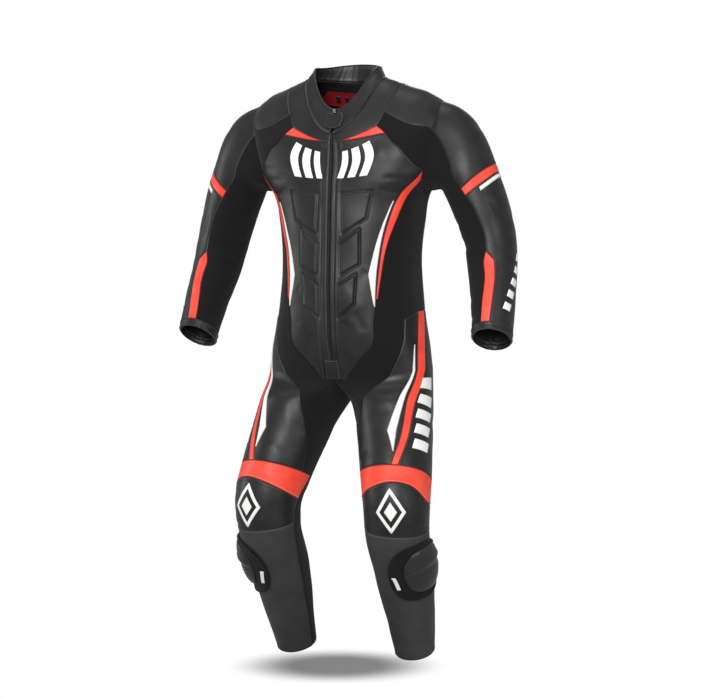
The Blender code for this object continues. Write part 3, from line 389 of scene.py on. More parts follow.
# %% Seams of the torso
YOKE_FOOT = (-0.036, float(zip_angle(-0.036)))
T = dict(
    zip_edge=beside_zip(HIP, YOKE_FOOT[0]),
    front_foot=level(8, HIP, float(zip_angle(HIP)), FRONT_TIP[1]),
    vee=seam(3, FRONT_TIP, (-0.61, 21), (-0.59, 29), (-0.529, 34.5), STRIPE_END_IN),
    stripe_in=seam(8, STRIPE_END_IN, (-0.432, 40.5), (-0.368, 43.3), (-0.298, 47.5),
                   (-0.257, 51.5), (-0.222, 56.5), hole_point(STRIPE_HOLE)),
    stripe_out=seam(8, STRIPE_END_OUT, (-0.432, 43), (-0.368, 47), (-0.301, 54),
                    (-0.262, 59), (-0.232, 63.5), hole_point(SIDE_HOLE)),
    chest=seam(4, WING_LOW, (-0.134, 36.5), (-0.169, 46), (-0.184, 55), hole_point(STRIPE_HOLE)),
    wing_low=seam(3, WING_TIP, (-0.068, 24), WING_LOW),
    wing_top=seam(3, WING_TIP, (-0.052, 24), WING_TOP),
    wing_side=seam(1, WING_TOP, WING_LOW),
    yoke_zip=seam(1, YOKE_FOOT, WING_TIP),
    yoke_gusset=seam(3, WING_TOP, SHOULDER_FRONT),
    yoke_shoulder=seam(5, SHOULDER_FRONT, (-0.041, 77), (-0.040, 105), SHOULDER_BACK),
    yoke_back=seam(4, SHOULDER_BACK, NECK_BACK),
    neckline=level(16, 0.0, float(zip_angle(0.0)), 180),
    shoulder_front=seam(5, SHOULDER_FRONT, (-0.095, 48), (-0.125, 52), hole_point(FRONT_HOLE)),
    shoulder_back=seam(5, SHOULDER_BACK, (-0.095, 126), hole_point(180 - FRONT_HOLE)),
    hole_gusset=hole_seam(3, STRIPE_HOLE, FRONT_HOLE),
    hole_stripe=hole_seam(1, STRIPE_HOLE, SIDE_HOLE),
    hole_side=hole_seam(5, SIDE_HOLE, BACK_HOLE),
    hole_back=hole_seam(3, BACK_HOLE, REAR_HOLE),
    hole_top=hole_seam(5, FRONT_HOLE, 180 - FRONT_HOLE),
    side_back=seam(8, WAIST_SIDE, (-0.40, 110), (-0.30, 109), hole_point(BACK_HOLE)),
    side_fold=seam(2, STRIPE_END_OUT, torso_point(TONGUE_IN)),
    hip_front=level(2, HIP, FRONT_TIP[1], float(hip_angle(THIGH_HIP[1]))),
    hip_back=level(4, HIP, float(hip_angle(OUTER_HIP[1])), 180),
    waist_back=level(4, WAIST_SIDE[0], WAIST_SIDE[1], 180))

# %% Seams of the leg
L = dict(
    tongue=seam(1, TONGUE_IN, TONGUE_OUT),
    stripe_top=seam(1, TONGUE_OUT, STRIPE_TOP),
    outer_top=seam(1, STRIPE_TOP, WAIST_BACK),
    thigh_hip=seam(3, TONGUE_IN, (-0.103, 47.4), (-0.073, 43.0), (-0.040, 33), THIGH_HIP),
    thigh_in=seam(6, THIGH_HIP, (0.030, -4), (0.066, -24), (0.110, -46), (0.168, -70),
                  band_point(BAND_THIGH)),
    stripe_in=seam(9, TONGUE_OUT, (0.0, 55), (0.081, 40), (0.187, 20), band_point(BAND_STRIPE_IN)),
    stripe_out=seam(9, STRIPE_TOP, (0.0, 74), (0.078, 54), (0.187, 32), band_point(BAND_STRIPE_OUT)),
    outer_hip=seam(3, WAIST_BACK, OUTER_HIP),
    outer_back=seam(6, OUTER_HIP, (0.12, 130), band_point(BAND_OUT)),
    outer_low=join(seam(1, band_point(BAND_OUT), BAND_LOW_OUT), seam(1, BAND_LOW_OUT, KNEE_LOW_OUT),
                   seam(5, KNEE_LOW_OUT, (0.45, 126), HEM_OUT)),
    inner_back=seam(6, (0.0, -140), (0.12, -128), band_point(BAND_IN)),
    inner_low=join(seam(1, band_point(BAND_IN), BAND_LOW_IN), seam(1, BAND_LOW_IN, KNEE_LOW_IN),
                   seam(5, KNEE_LOW_IN, (0.45, -88), HEM_IN)),
    hip_inside=join(level(6, 0.0, -140, -40), level(1, 0.0, -40, float(leg_angle(FRONT_TIP[1]))),
                    level(2, 0.0, float(leg_angle(FRONT_TIP[1])), THIGH_HIP[1])),
    hip_back=level(4, 0.0, OUTER_HIP[1], 220),
    band_low=seam(9, BAND_LOW_IN, (0.281, -34), (0.276, 2), (0.281, 34), (0.307, 80), BAND_LOW_OUT),
    knee_low=seam(9, KNEE_LOW_IN, (0.362, -50), (0.366, 10), (0.371, 64), KNEE_LOW_OUT))

# %% Seams of the sleeve
WRIST, REAR_TOP = 0.537, 180 - FRONT_HOLE
ARM_BAND_IN, ARM_BAND_OUT = (0.165, -3.0), (0.142, 165.0)
ARM_LOW_IN, ARM_LOW_OUT = (0.184, 0.0), (0.158, 166.0)
FORE_TIP, FORE_TIP_OUT = (0.345, 7.0), (0.372, 24.0)
A = dict(
    front=seam(4, (0.0, FRONT_HOLE), (0.035, 17), (0.071, 9), (0.135, -8), ARM_BAND_IN),
    rear=seam(4, (0.0, REAR_TOP), (0.07, 160), ARM_BAND_OUT),
    head=level(5, 0.0, FRONT_HOLE, REAR_TOP),
    band_high=seam(5, ARM_BAND_IN, (0.148, 38), (0.142, 86), ARM_BAND_OUT),
    band_low=seam(5, ARM_LOW_IN, (0.171, 38), (0.156, 90), ARM_LOW_OUT),
    band_in=seam(1, ARM_LOW_IN, ARM_BAND_IN),
    band_out=seam(1, ARM_LOW_OUT, ARM_BAND_OUT),
    elbow=seam(3, ARM_LOW_IN, (0.235, 9), (0.280, 11), FORE_TIP),
    stripe_in=seam(5, FORE_TIP, (0.375, -1), (0.425, -1), (0.490, -9), (WRIST, -13)),
    stripe_out=join(seam(1, FORE_TIP, FORE_TIP_OUT),
                    seam(4, FORE_TIP_OUT, (0.430, 25), (0.490, 19), (WRIST, 14))),
    rear_low=seam(8, ARM_LOW_OUT, (0.30, 192), (WRIST, 200)),
    wrist_in=level(12, WRIST, -160, -13),
    wrist_stripe=level(1, WRIST, -13, 14),
    wrist_out=level(5, WRIST, 14, 200))
A["inner_front"] = join(A["front"], A["band_in"][::-1], A["elbow"], A["stripe_in"])
A["inner_rear"] = join(A["rear"], A["band_out"][::-1], A["rear_low"]) - [0, 360]
A["under"] = level(12, 0.0, REAR_HOLE, FRONT_HOLE)
print(len(T) + len(A) + len(L), "seams")

# %% [markdown]
# ## From seams to cloth
#
# A seam shows because each panel's edge turns down into it. So the rows of a
# patch lie close together along its open edges, where the cloth rolls over, and
# a few millimetres apart elsewhere. The last close row is where the needle
# goes.

# %% A patch read at even steps
CLOSE = np.array([0.0002, 0.0008, 0.0017, 0.0032])      # rows beside an edge; the last takes the stitches
MESH = 0.0042                                           # step of the cloth elsewhere


def length(line):
    """Running length of a line of points."""
    return np.concatenate([[0], np.cumsum(np.linalg.norm(np.diff(line, axis=0), axis=1))])


def shares(chart, first, second, step, start, end):
    """Places from 0 to 1 along two facing seams, a step apart on the cloth.

    The mean of the two seams gives the real length; start and end say
    whether that end is an open edge, which gets the close rows.
    """
    far = length((chart(*first.T) + chart(*second.T)) / 2)
    close = CLOSE * min(1, far[-1] / 0.022)
    low = close if start else np.array([0.0])
    high = far[-1] - (close[::-1] if end else np.array([0.0]))
    count = max(3, int(np.ceil((high[0] - low[-1]) / step)) + 1)
    at = np.concatenate([low[:-1], np.linspace(low[-1], high[0], count), high[1:]])
    return np.interp(at, far, np.linspace(0, 1, len(far)))


def read(line, at):
    """A line of points read at shares of its point count."""
    place = np.linspace(0, 1, len(line))
    return np.stack([np.interp(at, place, line[:, k]) for k in range(line.shape[1])], -1)


def patch(chart, bottom, top, left, right, step=MESH, opened="lrbt", across=None):
    """Coons patch of four seams as a grid of (s, a).

    It is the sum of the two ruled surfaces between facing seams, less the
    bilinear one of the corners. bottom and top run from left to right,
    left and right from bottom to top; opened names the edges that are free.
    """
    u = shares(chart, bottom, top, step, "l" in opened, "r" in opened) if across is None else across
    w = shares(chart, left, right, step, "b" in opened, "t" in opened)
    corners = bottom[0], bottom[-1], top[0], top[-1]
    bottom, top, left, right = read(bottom, u), read(top, u), read(left, w), read(right, w)
    u, w = u[None, :, None], w[:, None, None]
    flat = ((1 - w) * ((1 - u) * corners[0] + u * corners[1])
            + w * ((1 - u) * corners[2] + u * corners[3]))
    grid = (1 - w) * bottom[None] + w * top[None] + (1 - u) * left[:, None] + u * right[:, None] - flat
    return dict(chart=chart, grid=grid, opened=opened)


def measured(part):
    """Points, normals, and for each point how far across and along it is and how near an open edge."""
    grid, opened = part["grid"], part["opened"]
    points = part["chart"](grid[..., 0], grid[..., 1])
    gap = np.linalg.norm(np.diff(points, axis=1), axis=2)
    across = np.concatenate([np.zeros((len(gap), 1)), np.cumsum(gap, axis=1)], 1)
    gap = np.linalg.norm(np.diff(points, axis=0), axis=2)
    up = np.concatenate([np.zeros((1, gap.shape[1])), np.cumsum(gap, axis=0)], 0)
    near = dict(l=across, r=across[:, -1:] - across, b=up, t=up[-1:] - up)
    edge = np.minimum.reduce([near[k] for k in opened] + [np.full(across.shape, 1.0)])
    return dict(part, points=points, normals=normal(part["chart"], grid[..., 0], grid[..., 1]),
                across=across, up=up, edge=edge, near=near)


# %% [markdown]
# ## Creases
#
# Leather creases where it is bent and pulled: in the crook of the elbow, behind
# the knee, from the armpit and at the waist. Each crease is a short bowed line
# on a chart, and the cloth near it sinks or rises by a bell curve of its
# distance from the line. The lines are listed one by one, uneven in length, depth
# and spacing, and a distance in space makes a crease cross a seam unbroken.

# %% Where the creases lie
COLUMNS = "side s0 a0 s1 a1 bow depth wide"             # depth and width in millimetres
CREASES = [(torso, table(COLUMNS, [
    ( 0, -0.214, 56, -0.196, 30,   4, -1.6,  7), ( 0, -0.236, 54, -0.222, 34,  -3, -1.1,  6),
    (-1, -0.190, 60, -0.176, 22,   3, -1.8,  6), (-1, -0.246, 58, -0.238, 38,   4, -1.4,  7),
    ( 1, -0.470, 16, -0.415, 33,   5, -1.6, 13), ( 1, -0.540, 12, -0.480, 30,  -4,  1.6, 16),
    ( 1, -0.560, 27, -0.510, 18,   3, -1.4, 11), (-1, -0.500, 12, -0.455, 31,   4, -1.4, 14),
    (-1, -0.565, 14, -0.535, 27,  -3,  1.3, 12), ( 1, -0.135, 30, -0.165, 12,   6,  1.2, 15),
    (-1, -0.150, 26, -0.120, 10,  -5, -1.0, 14), ( 0, -0.405, 60, -0.418, 104,  5, -2.4, 10),
    ( 1, -0.372, 66, -0.384, 98,   4, -1.8,  8), (-1, -0.442, 64, -0.452, 96,  -4, -2.0,  9),
    ( 0, -0.330, 72, -0.318, 104, -3, -1.5,  9), ( 0, -0.400, 112, -0.424, 168, 6, -3.0, 13),
    ( 1, -0.440, 118, -0.452, 158, -5, -2.4, 11), (-1, -0.362, 116, -0.380, 160, 5, -2.2, 12),
    ( 0, -0.476, 122, -0.470, 176, 4,  2.0, 14), ( 0, -0.240, 124, -0.300, 140, -6, -2.2, 12),
    ( 1, -0.215, 122, -0.262, 150, 7, -1.8, 11), (-1, -0.205, 124, -0.255, 146, 6, -1.9, 12),
    ( 0, -0.600, 128, -0.640, 172, 8, -2.6, 14), ( 1, -0.570, 130, -0.560, 166, 5, -1.6, 12),
    ( 0, -0.100, 70, -0.090, 112, 5, -1.0, 12), ( 0, -0.030, 60, -0.022, 96, 3,  0.8,  9)])),
  (arm, table(COLUMNS, [
    ( 0, 0.035, -60, 0.100, -20,  8, -1.8,  9), ( 0, 0.020, -95, 0.110, -60, 10, -2.2, 10),
    ( 0, 0.030, -140, 0.115, -120, 6, -2.0, 10), (-1, 0.060, -40, 0.150, -18, -6, -1.4,  8),
    ( 0, 0.288, -86, 0.300, -22,  7, -2.6,  7), ( 0, 0.312, -92, 0.330, -30, -6, -2.3,  7),
    (-1, 0.336, -84, 0.372, -36,  8, -2.2,  6), ( 1, 0.262, -70, 0.270, -14,  6, -1.8,  7),
    (-1, 0.352, -66, 0.358, -20, -5,  1.6,  5), (-1, 0.300, -60, 0.345, -72,  5, -1.6,  5),
    ( 1, 0.338, -56, 0.352, -10,  5, -1.4,  6), ( 0, 0.240, -100, 0.250, -50, -6, -1.6, 9),
    (-1, 0.432, -96, 0.418, -44,  6, -2.0,  6), (-1, 0.448, -88, 0.470, -54, -5, -1.7,  5),
    (-1, 0.404, -84, 0.446, -70,  4,  1.4,  5), ( 1, 0.446, -92, 0.462, -42,  5, -1.4,  8),
    ( 0, 0.500, -90, 0.512, -30,  6, -1.6,  6), ( 0, 0.200, 40, 0.255, 62,  9, -1.2, 10),
    (-1, 0.228, 22, 0.300, 34,   8, -1.4,  8), ( 1, 0.213, 34, 0.246, 44,  4,  1.0,  4),
    ( 0, 0.260, 96, 0.250, 160,  8, -1.6, 12), ( 1, 0.300, 110, 0.312, 170, -6, -1.8, 11),
    (-1, 0.330, 104, 0.318, 168, 7, -1.7, 12), ( 0, 0.060, 60, 0.075, 120,  9, -1.2, 14)])),
  (leg, table(COLUMNS, [
    ( 0, 0.030, -30, 0.110, -86,  8, -1.8, 12), ( 0, 0.010, -60, 0.070, -110, 6, -2.2, 11),
    (-1, 0.062, -14, 0.150, -60,  9, -1.3, 10), ( 1, 0.196, -34, 0.222, -76, -6, -1.8,  7),
    ( 1, 0.150, -40, 0.200, -70,  7,  1.2, 12), (-1, 0.178, -66, 0.190, -20,  7, -1.2, 11),
    ( 0, 0.090, 10, 0.130, -24,  6, -1.0, 14), (-1, 0.215, 10, 0.196, -34, -5,  1.3, 10),
    ( 0, 0.246, -70, 0.262, 60,  10, -1.0,  8), ( 0, 0.352, -66, 0.350, 84,  9, -2.0,  7),
    ( 0, 0.378, -72, 0.380, 74,  -8, -1.2,  8), ( 1, 0.340, 20, 0.346, 76,  5,  1.6,  7),
    ( 0, 0.250, 142, 0.262, 236,  8, -3.4, 10), ( 0, 0.282, 146, 0.276, 240, -8, -3.2,  9),
    ( 0, 0.314, 144, 0.322, 238,  6, -3.4, 10), ( 0, 0.350, 148, 0.342, 234, -6, -2.8,  9),
    ( 0, 0.220, 148, 0.206, 226,  8, -2.4, 11), ( 1, 0.386, 150, 0.402, 226, 7, -2.2, 11),
    (-1, 0.392, 146, 0.380, 222, -7, -2.4, 11), ( 0, 0.040, 136, 0.080, 212, 9, -2.8, 13),
    ( 0, 0.100, 140, 0.120, 206, -8, -2.0, 12), ( 0, 0.060, 96, 0.120, 116, 8, -1.5, 12),
    (-1, 0.520, -60, 0.560, 10,  9, -0.9, 16), ( 1, 0.560, -50, 0.610, 30, -8, -0.8, 15),
    ( 0, 0.640, -70, 0.652, 40,  6, -0.9, 11), ( 0, 0.560, 150, 0.580, 230, 6, -1.6, 13)]))]


def crease_lines():
    """Each crease as its points in space, its depth and its width, on the sides that have it."""
    for chart, tab in CREASES:
        t = np.linspace(0, 1, 9)
        for k in range(len(tab["side"])):
            row = {name: column[k] for name, column in tab.items()}
            bow = row["bow"] * np.sin(np.pi * t)
            s = row["s0"] + (row["s1"] - row["s0"]) * t + bow * 0.0012
            line = chart(s, row["a0"] + (row["a1"] - row["a0"]) * t + bow * 0.4)
            for side in (1, -1):
                if row["side"] in (0, side):
                    yield line * [side, 1, 1], row["depth"] / 1000, row["wide"] / 1000


def to_line(points, line):
    """Distance of each point from a line of points, and the share of the line where it is nearest."""
    start, step = line[:-1], np.diff(line, axis=0)
    t = ((points[:, None] - start) * step).sum(-1) / np.maximum((step**2).sum(-1), 1e-12)
    t = np.clip(t, 0, 1)
    gap = np.linalg.norm(points[:, None] - start - t[..., None] * step, axis=-1)
    best = gap.argmin(1)
    pick = np.arange(len(points))
    return gap[pick, best], (best + t[pick, best]) / len(start)


LINES = list(crease_lines())


def creased(points):
    """Height of the cloth from its creases and its slow, uneven swell.

    A crease adds depth times exp(-(distance / width) squared), faded to
    nothing at its two ends. The swell is a sum of three slow waves.
    """
    shape = points.shape[:-1]
    points = points.reshape(-1, 3)
    x, y, z = points.T
    height = 0.0006 * (np.sin(31 * x + 17 * z + 1.3) * np.cos(23 * y - 19 * z)
                       + 0.7 * np.sin(53 * z + 29 * x * np.cos(11 * z)) * np.cos(41 * y + 0.6)
                       + 0.5 * np.cos(71 * x - 47 * y + 37 * z + 2.1))
    for line, depth, wide in LINES:
        near = np.all((points > line.min(0) - 3 * wide) & (points < line.max(0) + 3 * wide), axis=1)
        if near.any():
            gap, share = to_line(points[near], line)
            fade = smooth(share * 4) * smooth((1 - share) * 4)
            height[near] += depth * np.exp(-(gap / wide)**2) * fade
    return height.reshape(shape)


print(len(LINES), "creases")

# %% [markdown]
# ## Shells
#
# Each panel is a closed wall: a worked outer skin, an inner skin one wall
# thickness below it, and a rim between the two. Its quads come from index
# arithmetic on whole arrays. The rim belongs to every edge that only one quad
# uses, so a panel of two patches needs no special care.

# %% Meshes from arrays
MIRROR = np.array([-1.0, 1.0, 1.0])


def quads(rows, cols, start=0):
    """Quads of a grid, facing the reader when rows go up and columns go right."""
    index = np.arange(rows * cols).reshape(rows, cols) + start
    return np.stack([index[:-1, :-1], index[:-1, 1:], index[1:, 1:], index[1:, :-1]], -1).reshape(-1, 4)


def rim(faces):
    """Edges that one quad has and no other, as pairs in that quad's direction."""
    edges = np.concatenate([np.stack([faces[:, k], faces[:, (k + 1) % 4]], -1) for k in range(4)])
    edges = edges[edges[:, 0] != edges[:, 1]]
    many = faces.max() + 1
    there, back = edges @ [many, 1], edges @ [1, many]
    return edges[~np.isin(back, there)]


def walled(outer, inner, faces):
    """Points and quads of the closed wall between two skins with the same quads."""
    i, j = rim(faces).T
    more = len(outer)
    sides = np.stack([j, i, i + more, j + more], -1)
    return (np.concatenate([outer, inner]),
            np.concatenate([faces, faces[:, ::-1] + more, sides]))


def put(name, points, faces, materials, inside=None, values=None, where=None):
    """A mesh object from arrays: corner by corner, with a UV map in metres and point values."""
    mesh = bpy.data.meshes.new(name)
    mesh.vertices.add(len(points))
    mesh.vertices.foreach_set("co", points.astype(np.float32).ravel())
    mesh.loops.add(faces.size)
    mesh.loops.foreach_set("vertex_index", faces.astype(np.int32).ravel())
    mesh.polygons.add(len(faces))
    mesh.polygons.foreach_set("loop_start", np.arange(0, faces.size, faces.shape[1], dtype=np.int32))
    mesh.update(calc_edges=True)
    mesh.polygons.foreach_set("use_smooth", np.ones(len(faces), bool))
    if inside is not None:
        mesh.polygons.foreach_set("material_index", inside.astype(np.int32))
    for key, value in (values or {}).items():
        mesh.attributes.new(key, "FLOAT", "POINT").data.foreach_set("value", value.astype(np.float32))
    if where is not None:
        layer = mesh.uv_layers.new(name="cloth")
        layer.uv.foreach_set("vector", where[faces.ravel()].astype(np.float32).ravel())
    for material in materials:
        mesh.materials.append(material)
    mesh.validate()
    piece = bpy.data.objects.new(name, mesh)
    bpy.context.scene.collection.objects.link(piece)
    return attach(piece, "root")

# %% [markdown]
# ## Materials
#
# The suit's leather is pigmented cowhide with a satin topcoat: fine pebbles of
# grain and slow patches where the skin was looser. Along its folded edges a
# colour is painted: a painted highlight on the black leathers, painted shade on
# the red and white ones. The stretch panels are a knitted aramid, matt and
# ribbed. Patterns read Object coordinates where a material has no direction,
# and the cloth's own UV map, in metres, where it has one.

# %% Colours and nodes
def linear(code):
    """An sRGB hex colour as linear light: c/12.92 near black, else ((c + 0.055)/1.055)^2.4."""
    c = np.array([int(code[k:k + 2], 16) for k in (0, 2, 4)]) / 255
    return (*np.where(c <= 0.04045, c / 12.92, ((c + 0.055) / 1.055)**2.4).tolist(), 1.0)


def add(tree, kind, inputs=(), **settings):
    """A node with its settings; each input is a value, or a socket to link."""
    new = tree.nodes.new("ShaderNode" + kind)
    for key, value in settings.items():
        setattr(new, key, value)
    for key, value in dict(inputs).items():
        if isinstance(value, bpy.types.NodeSocket):
            tree.links.new(value, new.inputs[key])
        else:
            new.inputs[key].default_value = value
    return new


def surface(name, **sockets):
    """A material, its tree and its Principled shader with the given constants."""
    material = bpy.data.materials.new(name)
    material.use_nodes = True
    shader = material.node_tree.nodes["Principled BSDF"]
    for key, value in sockets.items():
        shader.inputs[key.replace("_", " ")].default_value = value
    return material, material.node_tree, shader


def finish_with(tree, shader, colour, roughness, height, distance, strength):
    """Joins a colour, a roughness and a bump to the shader."""
    tree.links.new(colour, shader.inputs["Base Color"])
    tree.links.new(roughness, shader.inputs["Roughness"])
    bump = add(tree, "Bump", {"Height": height, "Distance": distance, "Strength": strength})
    tree.links.new(bump.outputs["Normal"], shader.inputs["Normal"])


def mixed(tree, share, first, second):
    """Colour between two, by a share from 0 to 1."""
    return add(tree, "Mix", {"Factor": share, "A": first, "B": second}, data_type="RGBA").outputs["Result"]


def ranged(tree, value, low, high, start, end):
    """A value moved from one range to another and kept inside it."""
    return add(tree, "MapRange", {"Value": value, "From Min": low, "From Max": high,
                                  "To Min": start, "To Max": end}).outputs["Result"]


# %% Leather, in its colours
# The last width is that of the colour painted along folded edges, as highlight on black leather and as shade
# on red and white.
GRAIN_MM, PATCH_MM, PAINTED_EDGE_MM = 1.8, 38.0, 2.2            # grain is drawn coarser than the real 0.8 mm, to show


def leather(name, colour, patch, edge, roughness, grain=0.00006):
    """Cowhide: cells of grain, slow patches in colour and gloss, and edge, a colour painted along the folded
    edges (a painted highlight when lighter, painted shade when darker).
    """
    material, tree, shader = surface(name, Specular_IOR_Level=0.36)
    place = add(tree, "TexCoord").outputs["Object"]
    cells = add(tree, "TexVoronoi", {"Vector": place, "Scale": 1000 / GRAIN_MM}, feature="DISTANCE_TO_EDGE")
    slow = add(tree, "TexNoise", {"Vector": place, "Scale": 1000 / PATCH_MM, "Detail": 3.0}).outputs["Fac"]
    # Painted light along folded edges: a mask from 1 at the edge to 0 at the edge width, for the edge colour.
    painted_edge_light = add(tree, "Attribute", attribute_name="edge").outputs["Fac"]
    painted_edge_light = ranged(tree, painted_edge_light, 0.3 * PAINTED_EDGE_MM / 1000, PAINTED_EDGE_MM / 1000, 1.0, 0.0)
    skin = mixed(tree, ranged(tree, slow, 0.35, 0.68, 0.0, 1.0), linear(colour), linear(patch))
    gloss = ranged(tree, slow, 0.3, 0.7, roughness + 0.06, roughness - 0.05)
    pebbles = ranged(tree, cells.outputs["Distance"], 0.0, 0.12, 0.0, 1.0)
    finish_with(tree, shader, mixed(tree, painted_edge_light, skin, linear(edge)), gloss, pebbles, grain, 0.55)
    return material


# Chrome-tanned hides, dyed through and finished with pigment and a satin coat. The
# eye gets broad soft highlights from them; the shin's is left matt, and the white
# and red ones hide the grain under more pigment.
# The third colour of each is painted along its folded edges: a painted highlight on the black and shin
# leathers, painted shade on the red and white ones.
BLACK_LEATHER = leather("black cowhide, satin topcoat", "171716", "222221", "3b3b39", 0.40)
SHIN_LEATHER = leather("black matt leather of the shin", "333332", "393938", "454543", 0.60)
RED_LEATHER = leather("fluorescent red cowhide", "f2402c", "fb5440", "8c1710", 0.46, 0.00004)
WHITE_LEATHER = leather("white cowhide inlay", "efefed", "f6f6f4", "d9d9d6", 0.46, 0.00004)
WHITE_PRINT = leather("white screen print on leather", "f2f2f0", "f7f7f5", "e4e4e2", 0.50, 0.00003)

# %% [markdown]
# The knit is woven from the cloth's own lengths, so its ribs run along each
# panel. Ribs and rows are two waves: their product is the height of the yarn,
# and its low places are painted darker, as painted shade in the grooves.

# %% Knits, lining, nylon and metal
RIB_MM = 2.6                                            # ribs are drawn twice as wide as real, to show
WAVE = 3.1416 / 10                                      # a wave texture of scale 1 repeats over this length


def knit(name, colour, groove, roughness, pitch=RIB_MM, height=0.00022):
    """Ribbed knit: rounded ribs along the cloth, crossed by rows of stitches."""
    material, tree, shader = surface(name, Sheen_Weight=0.06, Sheen_Roughness=0.6, Specular_IOR_Level=0.14)
    place = add(tree, "UVMap", uv_map="cloth").outputs["UV"]
    ribs = add(tree, "TexWave", {"Vector": place, "Scale": 1000 / pitch / 2 * WAVE, "Distortion": 0.4},
               bands_direction="X").outputs["Fac"]
    rows = add(tree, "TexWave", {"Vector": place, "Scale": 1000 / pitch / 1.2 * WAVE},
               bands_direction="Y").outputs["Fac"]
    crossed = ranged(tree, rows, 0, 1, 0.6, 1.0)
    weave = add(tree, "Math", {0: ribs, 1: crossed}, operation="MULTIPLY").outputs[0]
    where = add(tree, "TexCoord").outputs["Object"]
    slow = add(tree, "TexNoise", {"Vector": where, "Scale": 22.0}).outputs["Fac"]
    # Painted shade in the yarn's low places, mixed with slow random tone.
    shade = add(tree, "Math", {0: weave, 1: slow}, operation="MULTIPLY").outputs[0]
    gloss = ranged(tree, slow, 0.3, 0.7, roughness - 0.05, roughness + 0.05)
    finish_with(tree, shader, mixed(tree, shade, linear(groove), linear(colour)), gloss, weave, height, 0.6)
    return material


def moulded(name, colour, other, roughness, texture_mm, height, metallic=0.0):
    """Moulded or cast stock: an even fine texture, and slow smudges in its gloss."""
    material, tree, shader = surface(name, Metallic=metallic)
    place = add(tree, "TexCoord").outputs["Object"]
    fine = add(tree, "TexNoise", {"Vector": place, "Scale": 1000 / texture_mm, "Detail": 2.0}).outputs["Fac"]
    slow = add(tree, "TexNoise", {"Vector": place, "Scale": 60.0}).outputs["Fac"]
    gloss = ranged(tree, slow, 0.3, 0.7, roughness - 0.06, roughness + 0.08)
    finish_with(tree, shader, mixed(tree, slow, linear(colour), linear(other)), gloss, fine, height, 0.5)
    return material


# Knits and tapes come off a machine in rows and stay matt. Nylon and zip teeth are
# moulded, so they keep a faint even texture and a clearer highlight. The lining
# is a satin with a soft shine, and the zip's slider is cast zinc with a plating.
KNIT = knit("black ribbed aramid knit", "1d1d1d", "101010", 0.86)
LINING = moulded("black satin lining", "1b1b1b", "262626", 0.42, 3.0, 0.0002)
TAPE = knit("zip tape", "1d1d1d", "0f0f0f", 0.8, 1.6, 0.0001)
HOOK_TAPE = knit("hook tape of the slider base", "1c1c1b", "0c0c0c", 0.88, 2.0, 0.0003)
NYLON = moulded("moulded nylon", "1c1c1b", "242423", 0.36, 1.2, 0.00005)
TEETH = moulded("moulded zip teeth", "222222", "2a2a2a", 0.35, 1.0, 0.00002)
PULL = moulded("plated zinc slider", "9a9a98", "b8b8b5", 0.28, 0.8, 0.00002, 1.0)
DARK_THREAD = knit("black bonded thread", "31312f", "1c1c1b", 0.6, 0.8, 0.00005)
# Real stitches for the knee band, coloured light red as a painted highlight of the band's folded lower edge.
EDGE_HIGHLIGHT_THREAD = knit("light red thread, painted edge highlight", "ffc4ba", "ffa498", 0.6, 0.8, 0.00005)
LABEL_CLOTH = knit("woven red label", "b3151c", "8a0e14", 0.75, 1.0, 0.00005)
LABEL_MARK = knit("black weft of the label", "16100f", "0c0808", 0.75, 1.0, 0.00005)
print(len(bpy.data.materials), "materials")

# %% [markdown]
# ## Making a panel
#
# One function makes every panel from its patches. The height of the cloth above
# its chart is the sum of what the piece does by itself (a pad, a placket), the
# creases that pass through it, and the roll at its open edges. The right-hand
# piece is the mirror image of the left, but its creases are its own.

# %% One panel, from patches to object
LEATHER_RISE, KNIT_SINK = 0.0005, -0.0004               # leather laps over the knit beside it
ROLL, ROLL_REACH = 0.0011, 0.0028                       # how far an edge turns down, and over what distance
ALLOWANCE = 0.0014                                      # how far the inner skin runs on past a seam
cuts, trims, threads = {}, {}, {"dark": [], "light": []}


def past_edges(part):
    """For each point of an open edge the unit vector out of the panel, and zero elsewhere."""
    points = part["points"]
    out = np.zeros(points.shape)
    for side, (edge, next_row) in dict(l=(np.s_[:, 0], np.s_[:, 2]), r=(np.s_[:, -1], np.s_[:, -3]),
                                       b=(np.s_[0], np.s_[2]), t=(np.s_[-1], np.s_[-3])).items():
        if side in part["opened"]:
            out[edge] += unit(points[edge] - points[next_row])
    return out


def gathered(parts):
    """The patches of a panel as one set of flat arrays with its quads, shared points welded."""
    parts = [measured(part) for part in parts]
    flat = dict(points=[p["points"].reshape(-1, 3) for p in parts],
                normals=[p["normals"].reshape(-1, 3) for p in parts],
                edge=[p["edge"].ravel() for p in parts],
                low=[p["near"]["b"].ravel() for p in parts],
                high=[p["near"]["t"].ravel() for p in parts],
                beyond=[past_edges(p).reshape(-1, 3) for p in parts],
                cloth=[np.stack([p["across"], p["up"]], -1).reshape(-1, 2) for p in parts])
    flat = {key: np.concatenate(value) for key, value in flat.items()}
    starts = np.cumsum([0] + [p["edge"].size for p in parts])
    faces = np.concatenate([quads(*p["edge"].shape, start) for p, start in zip(parts, starts)])
    _, first, back = np.unique(np.round(flat["points"], 5), axis=0, return_index=True, return_inverse=True)
    keep = first[back.reshape(-1)]
    if len(parts) > 1:
        faces = keep[faces]
    return parts, flat, faces, starts


def stitch_rows(part, start, sides):
    """Indices of the rows of points that take the stitches, beside the named open edges."""
    index = np.arange(part["edge"].size).reshape(part["edge"].shape) + start
    lines = dict(l=index[3:-3, 3], r=index[3:-3, -4], b=index[3, 3:-3], t=index[-4, 3:-3])
    return [lines[side] for side in sides if side in part["opened"]]


def worked(flat, side, lift, relief):
    """Points and normals of one side's outer skin, raised by the lift, the creases and the relief."""
    points, normals = flat["points"], flat["normals"]
    if side < 0:
        points, normals = points * MIRROR, normals * MIRROR
    roll = ROLL * (1 - np.clip(flat["edge"] / ROLL_REACH, 0, 1))**2
    height = lift + creased(points) - roll
    if relief is not None:
        height = height + relief(flat, side)
    return points + normals * height[:, None], normals


